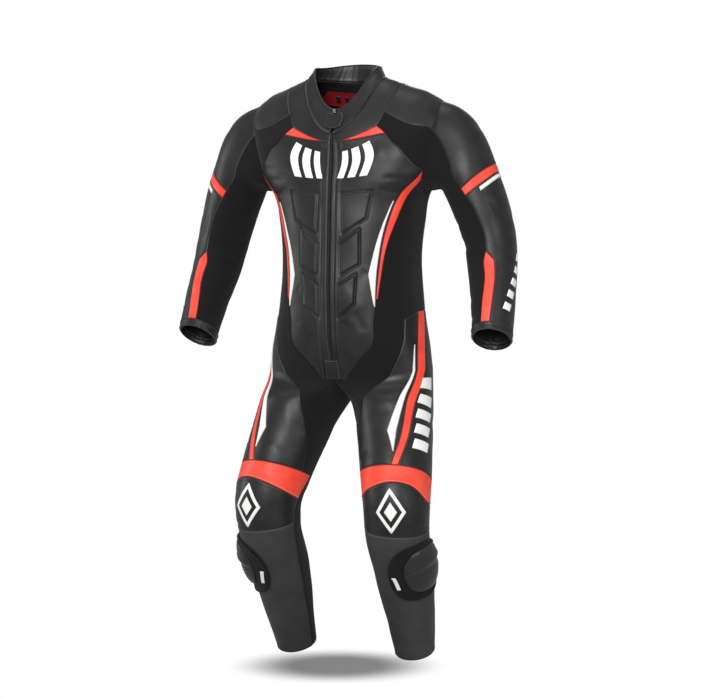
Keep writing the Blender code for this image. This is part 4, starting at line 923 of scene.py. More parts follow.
def panel(name, parts, material, wall, lift=0.0, sides="pair", relief=None, stitched="", thread="dark",
          inside=LINING, loose=0.0, host=None):
    """Closed wall of a panel, laid over its solid; loose crumples its inner skin.

    With a host it is a print or a trim on that panel, and stands for no solid.
    """
    parts, flat, faces, starts = gathered(parts)
    for ending, side in {"pair": [("_left", 1), ("_right", -1)], "whole": [("", 0)], "one": [("", 1)]}[sides]:
        outer, normals = worked(flat, side or 1, lift, relief)
        values, cloth, order = flat["edge"], flat["cloth"], faces if side >= 0 else faces[:, ::-1]
        beyond = flat["beyond"] * (MIRROR if side < 0 else 1.0)
        rows = [(outer[row], normals[row]) for part, start in zip(parts, starts)
                for row in stitch_rows(part, start, stitched)]
        if side == 0:
            other, other_normals = worked(flat, -1, lift, relief)
            rows += [(other[row], other_normals[row]) for part, start in zip(parts, starts)
                     for row in stitch_rows(part, start, stitched)]
            twin = np.arange(len(outer)) + len(outer)
            middle = np.abs(flat["points"][:, 0]) < 1e-6
            twin[middle] = np.flatnonzero(middle)
            other[middle] = outer[middle]
            order = np.concatenate([faces, twin[faces][:, ::-1]])
            outer, normals = np.concatenate([outer, other]), np.concatenate([normals, other_normals])
            values, cloth = np.tile(values, 2), np.concatenate([cloth, cloth * [-1, 1]])
            beyond = np.concatenate([beyond, beyond * MIRROR])
        used, order = np.unique(order, return_inverse=True)
        order = order.reshape(-1, 4)
        outer, normals, values, cloth, beyond = (v[used] for v in (outer, normals, values, cloth, beyond))
        x, y, z = outer.T
        deep = wall + loose * (0.5 + 0.5 * np.sin(260 * x + 190 * z * np.cos(90 * y)))
        points, every = walled(outer, outer - normals * deep[:, None] + beyond * ALLOWANCE, order)
        lined = np.zeros(len(every), int)
        lined[len(order):2 * len(order)] = 1
        piece = put(name + ending + "_cloth", points, every, [material, inside], lined,
                    {"edge": np.tile(values, 2)}, np.tile(cloth, (2, 1)))
        if host is None:
            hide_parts(name + ending)
        area = np.linalg.norm(np.cross(outer[order[:, 2]] - outer[order[:, 0]],
                                       outer[order[:, 3]] - outer[order[:, 1]]), axis=1).sum() / 2
        wide = max(np.ptp(p["across"], axis=1).max() for p in parts) * (2 if side == 0 else 1)
        tall = sum(np.ptp(p["up"], axis=0).max() for p in parts)
        if host is None:
            cuts[name + ending] = piece, float(wide), float(tall), float(area)
        else:
            trims.setdefault(host + ending, []).append(piece)
        threads[thread].extend(rows)
    print(name, len(every), "quads", round(float(area), 4), "m2")


# %% [markdown]
# ## The fronts
#
# The two fronts carry six embossed pads. A heated die presses a channel round
# each, so the leather sinks along the outline and stands up inside it. The
# distance from the outline gives both. Beside the zip each front is turned
# under twice, which makes a soft welt; the wearer's left one is the higher.

# %% Embossed pads and the placket
PADS = [  # corners on the torso chart, clockwise from the upper inner one
    [(-0.233, 8.5), (-0.230, 30.5), (-0.295, 29.5), (-0.331, 11.0)],
    [(-0.354, 9.5), (-0.318, 25.0), (-0.402, 25.5), (-0.428, 10.5)],
    [(-0.451, 9.0), (-0.424, 23.0), (-0.494, 21.0), (-0.526, 8.0)]]
CHANNEL, CHANNEL_WIDE, PAD_RISE, PAD_SLOPE = 0.0030, 0.0026, 0.0032, 0.0045
WELT_AT, WELT_WIDE, STITCH_DEEP, STITCH_WIDE = 0.0048, 0.0030, 0.0022, 0.0017
FOLD_RISE, FOLD_BEYOND, FOLD_WIDE = 0.0018, 0.0045, 0.0026


def within(points, outline):
    """Whether each point is inside an outline seen from the front.

    It is if a line from it to one side crosses the outline an odd number of times.
    """
    x, z = points[:, 0], points[:, 2]
    inside = np.zeros(len(points), bool)
    for start, end in zip(outline, np.roll(outline, -1, axis=0)):
        level_z = 1e-9 if end[2] == start[2] else end[2] - start[2]
        crossing = start[0] + (z - start[2]) / level_z * (end[0] - start[0])
        inside ^= ((start[2] > z) != (end[2] > z)) & (x < crossing)
    return inside


def bell(distance, middle, wide):
    """exp(-((distance - middle) / wide) squared)."""
    return np.exp(-((distance - middle) / wide)**2)


def placket(flat, side):
    """Height beside the zip: a welt, the channel of its stitches, and a fold, each a bell curve.

    The left front has the higher welt.
    """
    away = np.abs(flat["points"][:, 0]) - ZIP_HALF
    welt, groove = (0.0036, 0.0110) if side > 0 else (0.0016, 0.0150)
    height = welt * bell(away, WELT_AT, WELT_WIDE) - STITCH_DEEP * bell(away, groove, STITCH_WIDE)
    return height + FOLD_RISE * bell(away, groove + FOLD_BEYOND, FOLD_WIDE)


def front_relief(flat, side):
    """Height of a front: its welt beside the zip, and its pads."""
    height = placket(flat, side) * smooth(flat["high"] / 0.02 + 0.3)
    for corners in PADS:
        outline = torso(*np.array(corners + corners[:1]).T)
        gap, _ = to_line(flat["points"], outline)
        inside = within(flat["points"], outline[:-1])
        height = height - CHANNEL * bell(gap, 0, CHANNEL_WIDE)
        height = height + np.where(inside, PAD_RISE * smooth(gap / PAD_SLOPE), 0)
    return height


FRONT = patch(torso, T["front_foot"], join(T["yoke_zip"], T["wing_low"], T["chest"]),
              T["zip_edge"], join(T["vee"], T["stripe_in"]), step=0.0024)
panel("front", [FRONT], BLACK_LEATHER, LEATHER, LEATHER_RISE, relief=front_relief, stitched="lrbt")

# %% [markdown]
# ## The rest of the torso
#
# The yoke, the back and the seat are cut in one across the spine, so each is
# made as one half and its mirror image, joined along the middle. The red wings
# are let in between the yoke and the fronts. A side panel is long and bent
# at the waist, so it has two patches that share the line of the fold.

# %% The other panels of the torso
WING = T["wing_low"][3:], T["wing_top"][3:]
panel("wing", [patch(torso, *WING, seam(1, WING[0][0], WING[1][0]), T["wing_side"][::-1], step=0.003)],
      RED_LEATHER, LEATHER, LEATHER_RISE + 0.0003)
YOKE_EDGE = join(T["yoke_zip"], T["wing_top"], T["yoke_gusset"], T["yoke_shoulder"], T["yoke_back"])
panel("yoke", [patch(torso, YOKE_EDGE, T["neckline"], seam(2, T["yoke_zip"][0], T["neckline"][0]),
                     seam(2, NECK_BACK, (0, 180)), opened="lbt")],
      BLACK_LEATHER, LEATHER, LEATHER_RISE, "whole", stitched="lbt")
panel("gusset", [patch(torso, T["hole_gusset"], T["yoke_gusset"], join(T["wing_side"], T["chest"])[::-1],
                       T["shoulder_front"][::-1])], KNIT, STRETCH, KNIT_SINK)
panel("shoulder", [patch(torso, T["hole_top"], T["yoke_shoulder"], T["shoulder_front"][::-1],
                         T["shoulder_back"][::-1])], BLACK_LEATHER, LEATHER, LEATHER_RISE, stitched="lrbt")
panel("back", [patch(torso, T["waist_back"], T["yoke_back"],
                     join(T["side_back"], T["hole_back"], T["shoulder_back"][::-1]),
                     seam(16, (WAIST_SIDE[0], 180), NECK_BACK), opened="lbt")],
      BLACK_LEATHER, LEATHER, LEATHER_RISE, "whole", stitched="lbt")
FOLD = np.linspace(0, 1, 22)
SIDE_LOW = patch(torso, T["hip_front"], T["side_fold"], np.vstack([T["vee"][:-1], STRIPE_END_OUT]),
                 torso_side(L["thigh_hip"])[::-1], opened="lrb", across=FOLD)
SIDE_HIGH = patch(torso, join(T["side_fold"], torso_side(L["tongue"]), torso_side(L["stripe_top"]),
                              torso_side(L["outer_top"])), T["hole_side"], T["stripe_out"], T["side_back"],
                  opened="lrt", across=np.concatenate([FOLD * 0.4, np.linspace(0.4, 1, 32)[1:]]))
panel("side", [SIDE_LOW, SIDE_HIGH], KNIT, STRETCH, KNIT_SINK)
panel("chest_stripe", [patch(torso, seam(1, STRIPE_END_IN, STRIPE_END_OUT), T["hole_stripe"], T["stripe_in"],
                             T["stripe_out"], step=0.003)], RED_LEATHER, LEATHER, LEATHER_RISE + 0.0003)
panel("seat", [patch(torso, T["hip_back"], T["waist_back"], torso_side(L["outer_hip"])[::-1],
                     seam(3, (HIP, 180), (WAIST_SIDE[0], 180)), opened="lbt")],
      BLACK_LEATHER, LEATHER, LEATHER_RISE, "whole", stitched="lbt")

# %% [markdown]
# ## The sleeves
#
# A sleeve is cut bent, since a rider's arms reach forwards. Leather covers its
# outer side, where it meets the road, and the whole inner side is stretch
# fabric. The cuff is a band turned twice and sewn round the wrist.

# %% The sleeves
panel("upper_arm", [patch(arm, A["band_high"], A["head"], A["front"][::-1], A["rear"][::-1])],
      BLACK_LEATHER, LEATHER, LEATHER_RISE, stitched="lrbt")
panel("arm_band", [patch(arm, A["band_low"], A["band_high"], A["band_in"], A["band_out"], step=0.003)],
      RED_LEATHER, LEATHER, LEATHER_RISE + 0.0003)
panel("forearm", [patch(arm, A["wrist_out"], A["band_low"], join(A["elbow"], A["stripe_out"])[::-1],
                        A["rear_low"][::-1])],
      BLACK_LEATHER, LEATHER, LEATHER_RISE, stitched="lrbt", loose=0.0012)
panel("forearm_stripe", [patch(arm, A["wrist_stripe"], seam(1, FORE_TIP, (FORE_TIP[0], FORE_TIP[1] + 0.01)),
                               A["stripe_in"][::-1], A["stripe_out"][::-1], step=0.003)],
      RED_LEATHER, LEATHER, LEATHER_RISE + 0.0003)
panel("inner_arm", [patch(arm, A["wrist_in"], A["under"], A["inner_rear"][::-1], A["inner_front"][::-1])],
      KNIT, STRETCH, KNIT_SINK, loose=0.0012)


def cuff_relief(flat, side):
    """Two turned bands round the wrist, with a stitched channel between them."""
    return 0.0008 - 0.0012 * bell(flat["low"], 0.0095, 0.0016)


ROUND_WRIST = join(A["wrist_in"], A["wrist_stripe"], A["wrist_out"])
panel("cuff", [patch(arm, ROUND_WRIST + [CUFF, 0], ROUND_WRIST, seam(1, (WRIST + CUFF, -160), (WRIST, -160)),
                     seam(1, (WRIST + CUFF, 200), (WRIST, 200)), step=0.0026)],
      BLACK_LEATHER, LEATHER, LEATHER_RISE, relief=cuff_relief, stitched="bt", loose=0.0020)

# %% [markdown]
# ## The legs
#
# The legs are cut bent too. Stretch fabric runs down the back and the inside,
# leather covers the thigh and the knee, and a matt, harder leather the shin.

# %% The legs
panel("thigh_front", [patch(leg, on_band(5, BAND_THIGH, BAND_STRIPE_IN), seam(5, TONGUE_IN, TONGUE_OUT),
                            join(L["thigh_hip"], L["thigh_in"])[::-1], L["stripe_in"][::-1])],
      BLACK_LEATHER, LEATHER, LEATHER_RISE, stitched="lrbt")
panel("leg_stripe", [patch(leg, on_band(1, BAND_STRIPE_IN, BAND_STRIPE_OUT), L["stripe_top"],
                           L["stripe_in"][::-1], L["stripe_out"][::-1], step=0.003)],
      RED_LEATHER, LEATHER, LEATHER_RISE + 0.0003)
panel("thigh_outer", [patch(leg, on_band(5, BAND_STRIPE_OUT, BAND_OUT), seam(5, STRIPE_TOP, WAIST_BACK),
                            L["stripe_out"][::-1], join(L["outer_hip"], L["outer_back"])[::-1])],
      BLACK_LEATHER, LEATHER, LEATHER_RISE, stitched="lrbt")
panel("inner_leg", [patch(leg, on_band(9, BAND_IN, BAND_THIGH), L["hip_inside"], L["inner_back"][::-1],
                          L["thigh_in"][::-1])], KNIT, STRETCH, KNIT_SINK)
panel("leg_back", [patch(leg, level(4, HEM_IN[0], HEM_OUT[1], HEM_IN[1] + 360), L["hip_back"],
                         join(L["outer_back"], L["outer_low"])[::-1],
                         join(L["inner_back"], L["inner_low"])[::-1] + [0, 360])], KNIT, STRETCH, KNIT_SINK)
# The stitches on its lower edge are coloured light red, a painted highlight of the folded edge.
panel("knee_band", [patch(leg, L["band_low"], on_band(9, BAND_IN, BAND_OUT),
                          seam(1, BAND_LOW_IN, band_point(BAND_IN)),
                          seam(1, BAND_LOW_OUT, band_point(BAND_OUT)))],
      RED_LEATHER, LEATHER, LEATHER_RISE + 0.0003, stitched="b", thread="light")
panel("knee", [patch(leg, L["knee_low"], L["band_low"], seam(1, KNEE_LOW_IN, BAND_LOW_IN),
                     seam(1, KNEE_LOW_OUT, BAND_LOW_OUT))],
      BLACK_LEATHER, LEATHER, LEATHER_RISE, stitched="bt")
LOW_IN, LOW_OUT = L["inner_low"][2 * FINE:], L["outer_low"][2 * FINE:]
panel("shin", [patch(leg, level(9, HEM_IN[0], HEM_IN[1], HEM_OUT[1]), L["knee_low"],
                     LOW_IN[::-1], LOW_OUT[::-1])],
      SHIN_LEATHER, LEATHER, LEATHER_RISE, stitched="lrb")

# %% [markdown]
# ## The zip, the collar and the small pieces
#
# A moulded zip runs from the collar to the crotch. Its teeth grip a tape that
# is sewn behind the two fronts, so it lies lower than they do. A short patch
# covers its lower end, and a tab folds over the slider at the neck.

# %% Collar, tab, tape, patch and label
def collar_relief(flat, side):
    """A stitched channel round the collar, a third of the way up, and a soft roll at its top."""
    return 0.0016 * bell(flat["high"], 0, 0.006) - 0.0010 * bell(flat["low"], 0.008, 0.002)


TUCK, COLLAR_START = -0.10, float(T["neckline"][0, 1])  # the collar is sewn in below the neckline's edge
panel("collar", [patch(collar, T["neckline"] + [TUCK, 0], T["neckline"] + [1, 0],
                       seam(1, (TUCK, COLLAR_START), (1, COLLAR_START)), seam(1, (TUCK, 180), (1, 180)),
                       step=0.003, opened="lbt")],
      BLACK_LEATHER, LEATHER, LEATHER_RISE, "whole", collar_relief, stitched="bt", loose=0.0006)
TAB_LOW, TAB_HIGH, TAB_HALF, TAB_TIP = 0.12, 0.75, 12.0, 16.0
TAB_MIDDLE = (TAB_LOW + TAB_HIGH) / 2                   # its end is blunt, with the tip halfway up
panel("collar_tab", [patch(collar, level(2, TAB_LOW, -TAB_HALF, TAB_HALF),
                           level(2, TAB_HIGH, -TAB_HALF, TAB_HALF),
                           seam(2, (TAB_LOW, -TAB_HALF), (TAB_HIGH, -TAB_HALF)),
                           seam(2, (TAB_LOW, TAB_HALF), (TAB_MIDDLE, TAB_TIP), (TAB_HIGH, TAB_HALF)),
                           step=0.002)],
      BLACK_LEATHER, LEATHER, LEATHER + 3 * ON_TOP + 0.001, "one", stitched="lrbt")
ZIP_TOP, TAPE_SINK = -0.004, -0.0012
TAPE_EDGE = beside_zip(ZIP_END, ZIP_TOP)
panel("zip", [patch(torso, level(1, ZIP_END, 0, float(zip_angle(ZIP_END))),
                    level(1, ZIP_TOP, 0, float(zip_angle(ZIP_TOP))), TAPE_EDGE * [1, 0], TAPE_EDGE,
                    step=0.003, opened="rbt")], TAPE, STRETCH, TAPE_SINK, "whole")
PATCH_TOP = ZIP_END + 0.012
PATCH_ANGLE = float(np.degrees(PATCH_HALF / along(TORSO, "wide", ZIP_END)))


def oblong(low, high, left, right):
    """A patch of the torso between two heights and two angles."""
    return patch(torso, level(1, low, left, right), level(1, high, left, right),
                 seam(1, (low, left), (high, left)), seam(1, (low, right), (high, right)), step=0.003)


panel("zip_patch", [oblong(HIP + 0.002, PATCH_TOP, -PATCH_ANGLE, PATCH_ANGLE)],
      BLACK_LEATHER, LEATHER, LEATHER + 2 * ON_TOP + 0.0012, "one", stitched="t")
panel("label", [oblong(-0.062, -0.026, 172, 220)],
      LABEL_CLOTH, TRIM, -LEATHER - 4 * ON_TOP, "one", inside=LABEL_CLOTH)

# %% [markdown]
# ## White inlays
#
# Thin white leather is sewn on top of the panels: a bar under each red band of
# the sleeve, and a pointed wedge beside each stripe. A wedge has straight
# sides with a corner where its two slopes meet.

# %% White inlays of leather
BAR_LINE = A["band_low"][FINE:4 * FINE + 1]
panel("arm_bar", [patch(arm, BAR_LINE + [0.0135, 0], BAR_LINE + [0.005, 0],
                        seam(1, BAR_LINE[0] + [0.0135, 0], BAR_LINE[0] + [0.005, 0]),
                        seam(1, BAR_LINE[-1] + [0.0135, 0], BAR_LINE[-1] + [0.005, 0]), step=0.0026)],
      WHITE_LEATHER, TRIM, TRIM + 2 * ON_TOP)


def strip(chart, left, right, step=0.0026):
    """A patch between two long lines with straight stretches."""
    left, right = (read(np.array(line), np.linspace(0, 1, 4 * FINE + 1)) for line in (left, right))
    return patch(chart, seam(1, left[0], right[0]), seam(1, left[-1], right[-1]), left, right, step)


CHEST_WEDGE = [  # its inner side and its outer side, from the lower point to the upper one
    [(-0.500, 36.0), (-0.425, 32.8), (-0.350, 38.8), (-0.301, 43.2), (-0.255, 48.6)],
    [(-0.500, 36.6), (-0.420, 39.2), (-0.349, 42.3), (-0.297, 45.4), (-0.255, 49.4)]]
LEG_WEDGE = [
    [(0.207, 9.4), (0.157, 4.5), (0.083, 27.0), (0.0, 46.5), (-0.060, 58.4)],
    [(0.207, 9.9), (0.157, 18.0), (0.081, 35.5), (0.0, 50.0), (-0.060, 59.0)]]
INLAY_LIFT = TRIM + ON_TOP + 0.0004
panel("chest_wedge", [strip(torso, *CHEST_WEDGE)], WHITE_LEATHER, TRIM, INLAY_LIFT)
panel("leg_wedge", [strip(leg, *LEG_WEDGE)], WHITE_LEATHER, TRIM, INLAY_LIFT + ON_TOP)

# %% [markdown]
# ## Knee sliders
#
# A slider is a puck of moulded nylon that the rider can put down on the road. It
# is held on its base by hook tape, so it can be changed. A disc grid has no
# corner to pinch: x = u sqrt(1 - v*v/2) and y = v sqrt(1 - u*u/2) turn a
# square of rows into a disc, and a superellipse squares it up again.

# %% Bases and pucks
BASE = dict(s=0.452, a=46.0, half_long=0.070, half_turn=66.0)
PUCK = dict(s=0.447, a=56.0, half_long=0.055, half_turn=45.0)
PAD_SQUARE = 2.6


def disc(count):
    """Rows of a disc of radius 1, squared up a little: x along the turn, y up the shin, and the radius."""
    u, v = np.meshgrid(np.linspace(-1, 1, count), np.linspace(-1, 1, count))
    x, y = u * np.sqrt(1 - v * v / 2), v * np.sqrt(1 - u * u / 2)
    r, t = np.hypot(x, y), np.arctan2(y, x)
    k = (np.abs(np.cos(t))**PAD_SQUARE + np.abs(np.sin(t))**PAD_SQUARE)**(-1 / PAD_SQUARE)
    return x * k, y * k, r


def slider(name, place, low, shape, material, count=57):
    """A pad over the outer shin; shape gives its height from x, y and the radius."""
    x, y, r = disc(count)
    s = place["s"] - place["half_long"] * y
    a = place["a"] + place["half_turn"] * x
    out = plain_normal(leg, s, a, 0.0, 1.0).reshape(-1, 3)
    flat, high = leg(s, a).reshape(-1, 3), low + shape(x, y, r).reshape(-1, 1)
    order = quads(count, count)
    for ending, side in (("_left", 1), ("_right", -1)):
        mirror = MIRROR if side < 0 else 1.0
        points, every = walled((flat + out * high) * mirror, (flat + out * low) * mirror, order[:, ::-side])
        piece = put(name + ending + "_pad", points, every, [material],
                    where=np.tile(np.stack([x, y], -1).reshape(-1, 2) * place["half_long"], (2, 1)))
        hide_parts(name + ending)
    print(name, len(every), "quads")


def base_shape(x, y, r):
    """A flat tape with a rolled rim."""
    return 0.0030 + 0.0014 * bell(r, 0.95, 0.03) - 0.0026 * smooth((r - 0.965) / 0.035)


def puck_shape(x, y, r):
    """A dome with a soft ridge across it, a channel below the ridge, and a step near the rim."""
    dome = 0.0010 + 0.0112 * (1 - 0.88 * r**3.2)
    ridge = 0.0024 * bell(y + 0.06 * x * x, 0.40, 0.12) - 0.0020 * bell(y, 0.14, 0.14)
    return dome + ridge * smooth((1 - r) / 0.2) - 0.0012 * smooth((r - 0.93) / 0.07)


slider("slider_base", BASE, 0.0028, base_shape, HOOK_TAPE)
slider("knee_slider", PUCK, 0.0068, puck_shape, NYLON)

# %% [markdown]
# ## Prints
#
# A sponsor's name would stand on the chest, the thighs and the sleeves. Plain
# leaning bars stand there instead, of the same size and colour, and a diamond
# on each knee. They are screen prints with a thin body, so each is a wall of
# half a millimetre that follows the creases of the leather under it.

# %% Bars and diamonds
PRINT_LIFT, PRINT_WALL = 0.0013, 0.0005


def four(chart, low_left, low_right, high_left, high_right, step=0.005):
    """A four-cornered patch."""
    return patch(chart, seam(1, low_left, low_right), seam(1, high_left, high_right),
                 seam(1, low_left, high_left), seam(1, low_right, high_right), step, opened="")


def printed(name, host, parts, material=WHITE_PRINT, lift=PRINT_LIFT, sides="pair", relief=None):
    """Prints on a panel: one thin wall each, listed with the panel they lie on."""
    panel(name, parts, material, PRINT_WALL, lift, sides, relief, host=host)


CHEST_LOW, CHEST_HIGH = -0.183, -0.090
CHEST_BARS = [(4.8, 8.6, 7.8, 11.6), (11.0, 15.8, 14.0, 18.8), (18.4, 23.2, 21.4, 26.2)]
printed("chest_print", "front", [four(torso, (CHEST_LOW, low_in), (CHEST_LOW, low_out),
                                      (CHEST_HIGH, high_in), (CHEST_HIGH, high_out), 0.0024)
                                 for low_in, low_out, high_in, high_out in CHEST_BARS], relief=placket)


def thigh_bar(k):
    """One bar of the outer thigh; the row of bars leans forward as it goes down."""
    s = 0.022 + 0.038 * k
    middle = 80 - 24 * (s - 0.02) / 0.18
    return four(leg, (s + 0.024, middle - 19), (s + 0.024, middle + 13), (s, middle - 13), (s, middle + 19))


THIGH_BARS = [thigh_bar(k) for k in range(5)]
printed("thigh_print", "thigh_outer", THIGH_BARS)


def sleeve_bar(k):
    """One small bar of the row down the forearm."""
    s = 0.343 + 0.034 * k
    middle = 102 - 46 * (s - 0.343) / 0.162
    return four(arm, (s + 0.019, middle - 15), (s + 0.019, middle + 9), (s, middle - 9), (s, middle + 15))


printed("sleeve_print", "forearm", [sleeve_bar(k) for k in range(5)])


def diamond(middle, tall, wide, share):
    """Four strips round a diamond, each as broad as its share of the half size."""
    outer = [(middle[0] + dy * tall, middle[1] + dx * wide) for dx, dy in ((0, 1), (1, 0), (0, -1), (-1, 0))]
    inner = [(middle[0] + dy * tall * (1 - share), middle[1] + dx * wide * (1 - share))
             for dx, dy in ((0, 1), (1, 0), (0, -1), (-1, 0))]
    return [four(leg, outer[k], outer[(k + 1) % 4], inner[k], inner[(k + 1) % 4], 0.003) for k in range(4)]


KNEE_MIDDLE, KNEE_TALL, KNEE_WIDE, KNEE_CORE = (0.322, -1.0), 0.036, 27.0, 0.42
printed("knee_print", "knee", diamond(KNEE_MIDDLE, KNEE_TALL, KNEE_WIDE, 0.26)
        + [four(leg, (KNEE_MIDDLE[0] + KNEE_CORE * KNEE_TALL, KNEE_MIDDLE[1]),
                (KNEE_MIDDLE[0], KNEE_MIDDLE[1] + KNEE_CORE * KNEE_WIDE),
                (KNEE_MIDDLE[0], KNEE_MIDDLE[1] - KNEE_CORE * KNEE_WIDE),
                (KNEE_MIDDLE[0] - KNEE_CORE * KNEE_TALL, KNEE_MIDDLE[1]), 0.003)])
MARK_LIFT = 0.0074                                      # on top of the slider's base
BASE_MARKS = [four(leg, (0.484, -6.0), (0.484, 1.0), (0.446, -12.0), (0.446, -4.5), 0.003),
              four(leg, (0.478, 99.0), (0.478, 104.0), (0.430, 103.0), (0.430, 108.5), 0.003)]
printed("base_marks", "shin", BASE_MARKS, lift=MARK_LIFT)

# %% [markdown]
# ## Zip teeth, the slider at the neck, and the label's mark
#
# Moulded teeth are short bars in two rows that mesh. Each is one box repeated
# along the zip's line, so every box is built at once from the line's points and
# normals.

# %% Boxes along a line
def bars(places, ahead, out, half):
    """A box at each place: half lengths along ahead, across and out, as points and quads."""
    across = unit(np.cross(ahead, out))
    corners = np.array([(i, j, k) for k in (-1, 1) for j in (-1, 1) for i in (-1, 1)], float)
    axes = np.stack([ahead * half[0], across * half[1], out * half[2]], 1)
    points = places[:, None] + np.einsum("ck,nkx->ncx", corners, axes)
    sides = np.array([(0, 2, 3, 1), (4, 5, 7, 6), (0, 1, 5, 4), (2, 6, 7, 3), (0, 4, 6, 2), (1, 3, 7, 5)])
    order = sides[None] + 8 * np.arange(len(places))[:, None, None]
    return points.reshape(-1, 3), order.reshape(-1, 4)


TOOTH_STEP, TOOTH = 0.0025, (0.0007, 0.0022, 0.0009)
fine = np.linspace(ZIP_END + 0.012, -0.006, 4000)
run = length(torso(fine, 0.0))
at = np.interp(np.arange(0, run[-1], TOOTH_STEP), run, fine)
line = torso(at, 0.0)
out = plain_normal(torso, at, 0 * at, HIP, 0.0)
ahead = unit(np.gradient(line, axis=0))
across = unit(np.cross(ahead, out))
stagger = np.where(np.arange(len(at)) % 2, 1, -1)[:, None] * 0.0011
points, order = bars(line + out * (0.0002 + creased(line)[:, None]) + across * stagger, ahead, out, TOOTH)
teeth = put("zip_teeth", points, order, [TEETH], where=points[:, :2])
trims.setdefault("zip", []).append(teeth)

PULL_PLACE = np.array([0.86]), np.array([0.0])          # on the collar chart, just above the tab
pull_line = collar(*PULL_PLACE)
pull_out = plain_normal(collar, *PULL_PLACE, 0.0, 1.0)
pull_up = unit(collar(PULL_PLACE[0] + 0.09, PULL_PLACE[1]) - pull_line)
points, order = bars(pull_line + pull_out * 0.0055, pull_up, pull_out, (0.0045, 0.0034, 0.0024))
bridge, bridge_order = bars(pull_line + pull_out * 0.0085 - pull_up * 0.001, pull_up, pull_out,
                            (0.0020, 0.0012, 0.0010))
points, order = np.concatenate([points, bridge]), np.concatenate([order, bridge_order + len(points)])
pull = put("zip_slider", points, order, [PULL], where=np.zeros((16, 2)))
bevel = pull.modifiers.new("rounded", "BEVEL")
bevel.width, bevel.segments = 0.0009, 3
trims["zip"].append(pull)

LABEL_DEEP = -LEATHER - 4 * ON_TOP - TRIM - 0.0004
LABEL_BARS = [four(torso, (-0.054, a), (-0.054, a + 4), (-0.036, a + 3), (-0.036, a + 7), 0.004)
              for a in (184, 193, 202)]
printed("label_mark", "label", LABEL_BARS, LABEL_MARK, LABEL_DEEP, "one")

# %% [markdown]
# ## Stitches
#
# A lock stitch shows as a short bar that dips at both ends, one every few
# millimetres. The rows beside the open edges give the lines, and every stitch
# of a colour is one mesh: a low roof of six points.

# %% Thread
PITCH, LONG, THREAD = 0.0046, 0.0034, 0.0006


def stitches(rows, name, material, thick=THREAD):
    """Stitches along rows of points: a ridge of two points over a base of four."""
    place, ahead, out = [], [], []
    for points, normals in rows:
        far = length(points)
        count = int(far[-1] / PITCH)
        if count < 2:
            continue
        at = (np.arange(count) + 0.5) * PITCH
        here = np.stack([np.interp(at, far, points[:, k]) for k in range(3)], -1)
        beyond = np.stack([np.interp(at + 0.001, far, points[:, k]) for k in range(3)], -1)
        before = np.stack([np.interp(at - 0.001, far, points[:, k]) for k in range(3)], -1)
        place.append(here)
        ahead.append(unit(beyond - before))
        out.append(unit(np.stack([np.interp(at, far, normals[:, k]) for k in range(3)], -1)))
    place, ahead, out = np.concatenate(place), np.concatenate(ahead), np.concatenate(out)
    across = unit(np.cross(ahead, out))
    shape = np.array([(-1, -1, 0), (-1, 1, 0), (1, -1, 0), (1, 1, 0), (-0.7, 0, 1), (0.7, 0, 1)], float)
    axes = np.stack([ahead * LONG / 2, across * thick, out * thick * 1.1], 1)
    points = (place[:, None] + np.einsum("ck,nkx->ncx", shape, axes)).reshape(-1, 3)
    sides = np.array([(0, 4, 5, 2), (3, 5, 4, 1), (0, 1, 4, 4), (3, 2, 5, 5), (0, 2, 3, 1)])
    order = (sides[None] + 6 * np.arange(len(place))[:, None, None]).reshape(-1, 4)
    along_thread = np.array([(0, 0), (0, 1), (1, 0), (1, 1), (0, 0.5), (1, 0.5)]) * LONG
    print(name, len(place), "stitches")
    return put(name, points, order, [material], where=np.tile(along_thread, (len(place), 1)))


REGIONS = dict(torso=lambda p: abs(p[0]) < 0.24 and p[2] > -0.68, arms=lambda p: abs(p[0]) >= 0.24,
               legs=lambda p: abs(p[0]) < 0.24 and p[2] <= -0.68)
# Each region's thread is listed with one of its panels.
HOSTS = dict(torso="back", arms="forearm_left", legs="shin_left")
for part, keep in REGIONS.items():
    rows = [row for row in threads["dark"] if keep(row[0].mean(axis=0))]
    trims.setdefault(HOSTS[part], []).append(stitches(rows, "thread_" + part, DARK_THREAD))
# The knee band's light stitches carry a painted highlight of its lower edge.
trims.setdefault("knee_band_left", []).append(stitches(threads["light"], "thread_knee", EDGE_HIGHLIGHT_THREAD, 0.0010))

# %% [markdown]
# ## Stage, light and camera
#
# A studio: a white ground and backdrop, a broad soft key light from the front,
# a fill and a side light, and dimmer ones from above and behind, so that black
# leather shows its form by soft highlights. The soft shade on the ground is
# painted, not cast: an oval that fades out to nothing, on a clear plane.

# %% Floor and backdrop
FLOOR_Z = -1.368                                        # 25 mm below the hems of the legs
VIEW_TURN = np.radians(24.0)                            # the camera stands this far round to the suit's left


def plane(name, size, z, material):
    """A level square that is part of the stage."""
    bpy.ops.mesh.primitive_plane_add(size=size, location=(0, 0, z))
    thing = bpy.context.object
    thing.name = name
    thing.data.materials.append(material)
    return thing


# The plane is clear but for a painted shadow under the suit, so the ground looks as white as the backdrop.
SHADE_HALF, SHADE_MIDDLE, SHADE_DARK = (0.275, 0.30), (-0.034, -0.015), 0.80
FLOOR, tree, shader = surface("shade on a white ground", Roughness=1.0)
shader.inputs["Base Color"].default_value = linear("000000")
place = add(tree, "Mapping", {"Vector": add(tree, "TexCoord").outputs["Object"],
                              "Rotation": (0, 0, -VIEW_TURN)})
scaled = add(tree, "VectorMath", {0: place.outputs[0], 1: (1 / SHADE_HALF[0], 1 / SHADE_HALF[1], 0)},
             operation="MULTIPLY").outputs[0]
far = add(tree, "VectorMath", {0: scaled}, operation="LENGTH").outputs["Value"]
ends = {"Value": far, "From Min": 0.35, "From Max": 1.0, "To Min": SHADE_DARK, "To Max": 0.0}
fade = add(tree, "MapRange", ends, interpolation_type="SMOOTHSTEP").outputs["Result"]
clear = add(tree, "BsdfTransparent").outputs[0]
both = add(tree, "MixShader", {0: fade, 1: clear, 2: shader.outputs[0]}).outputs[0]
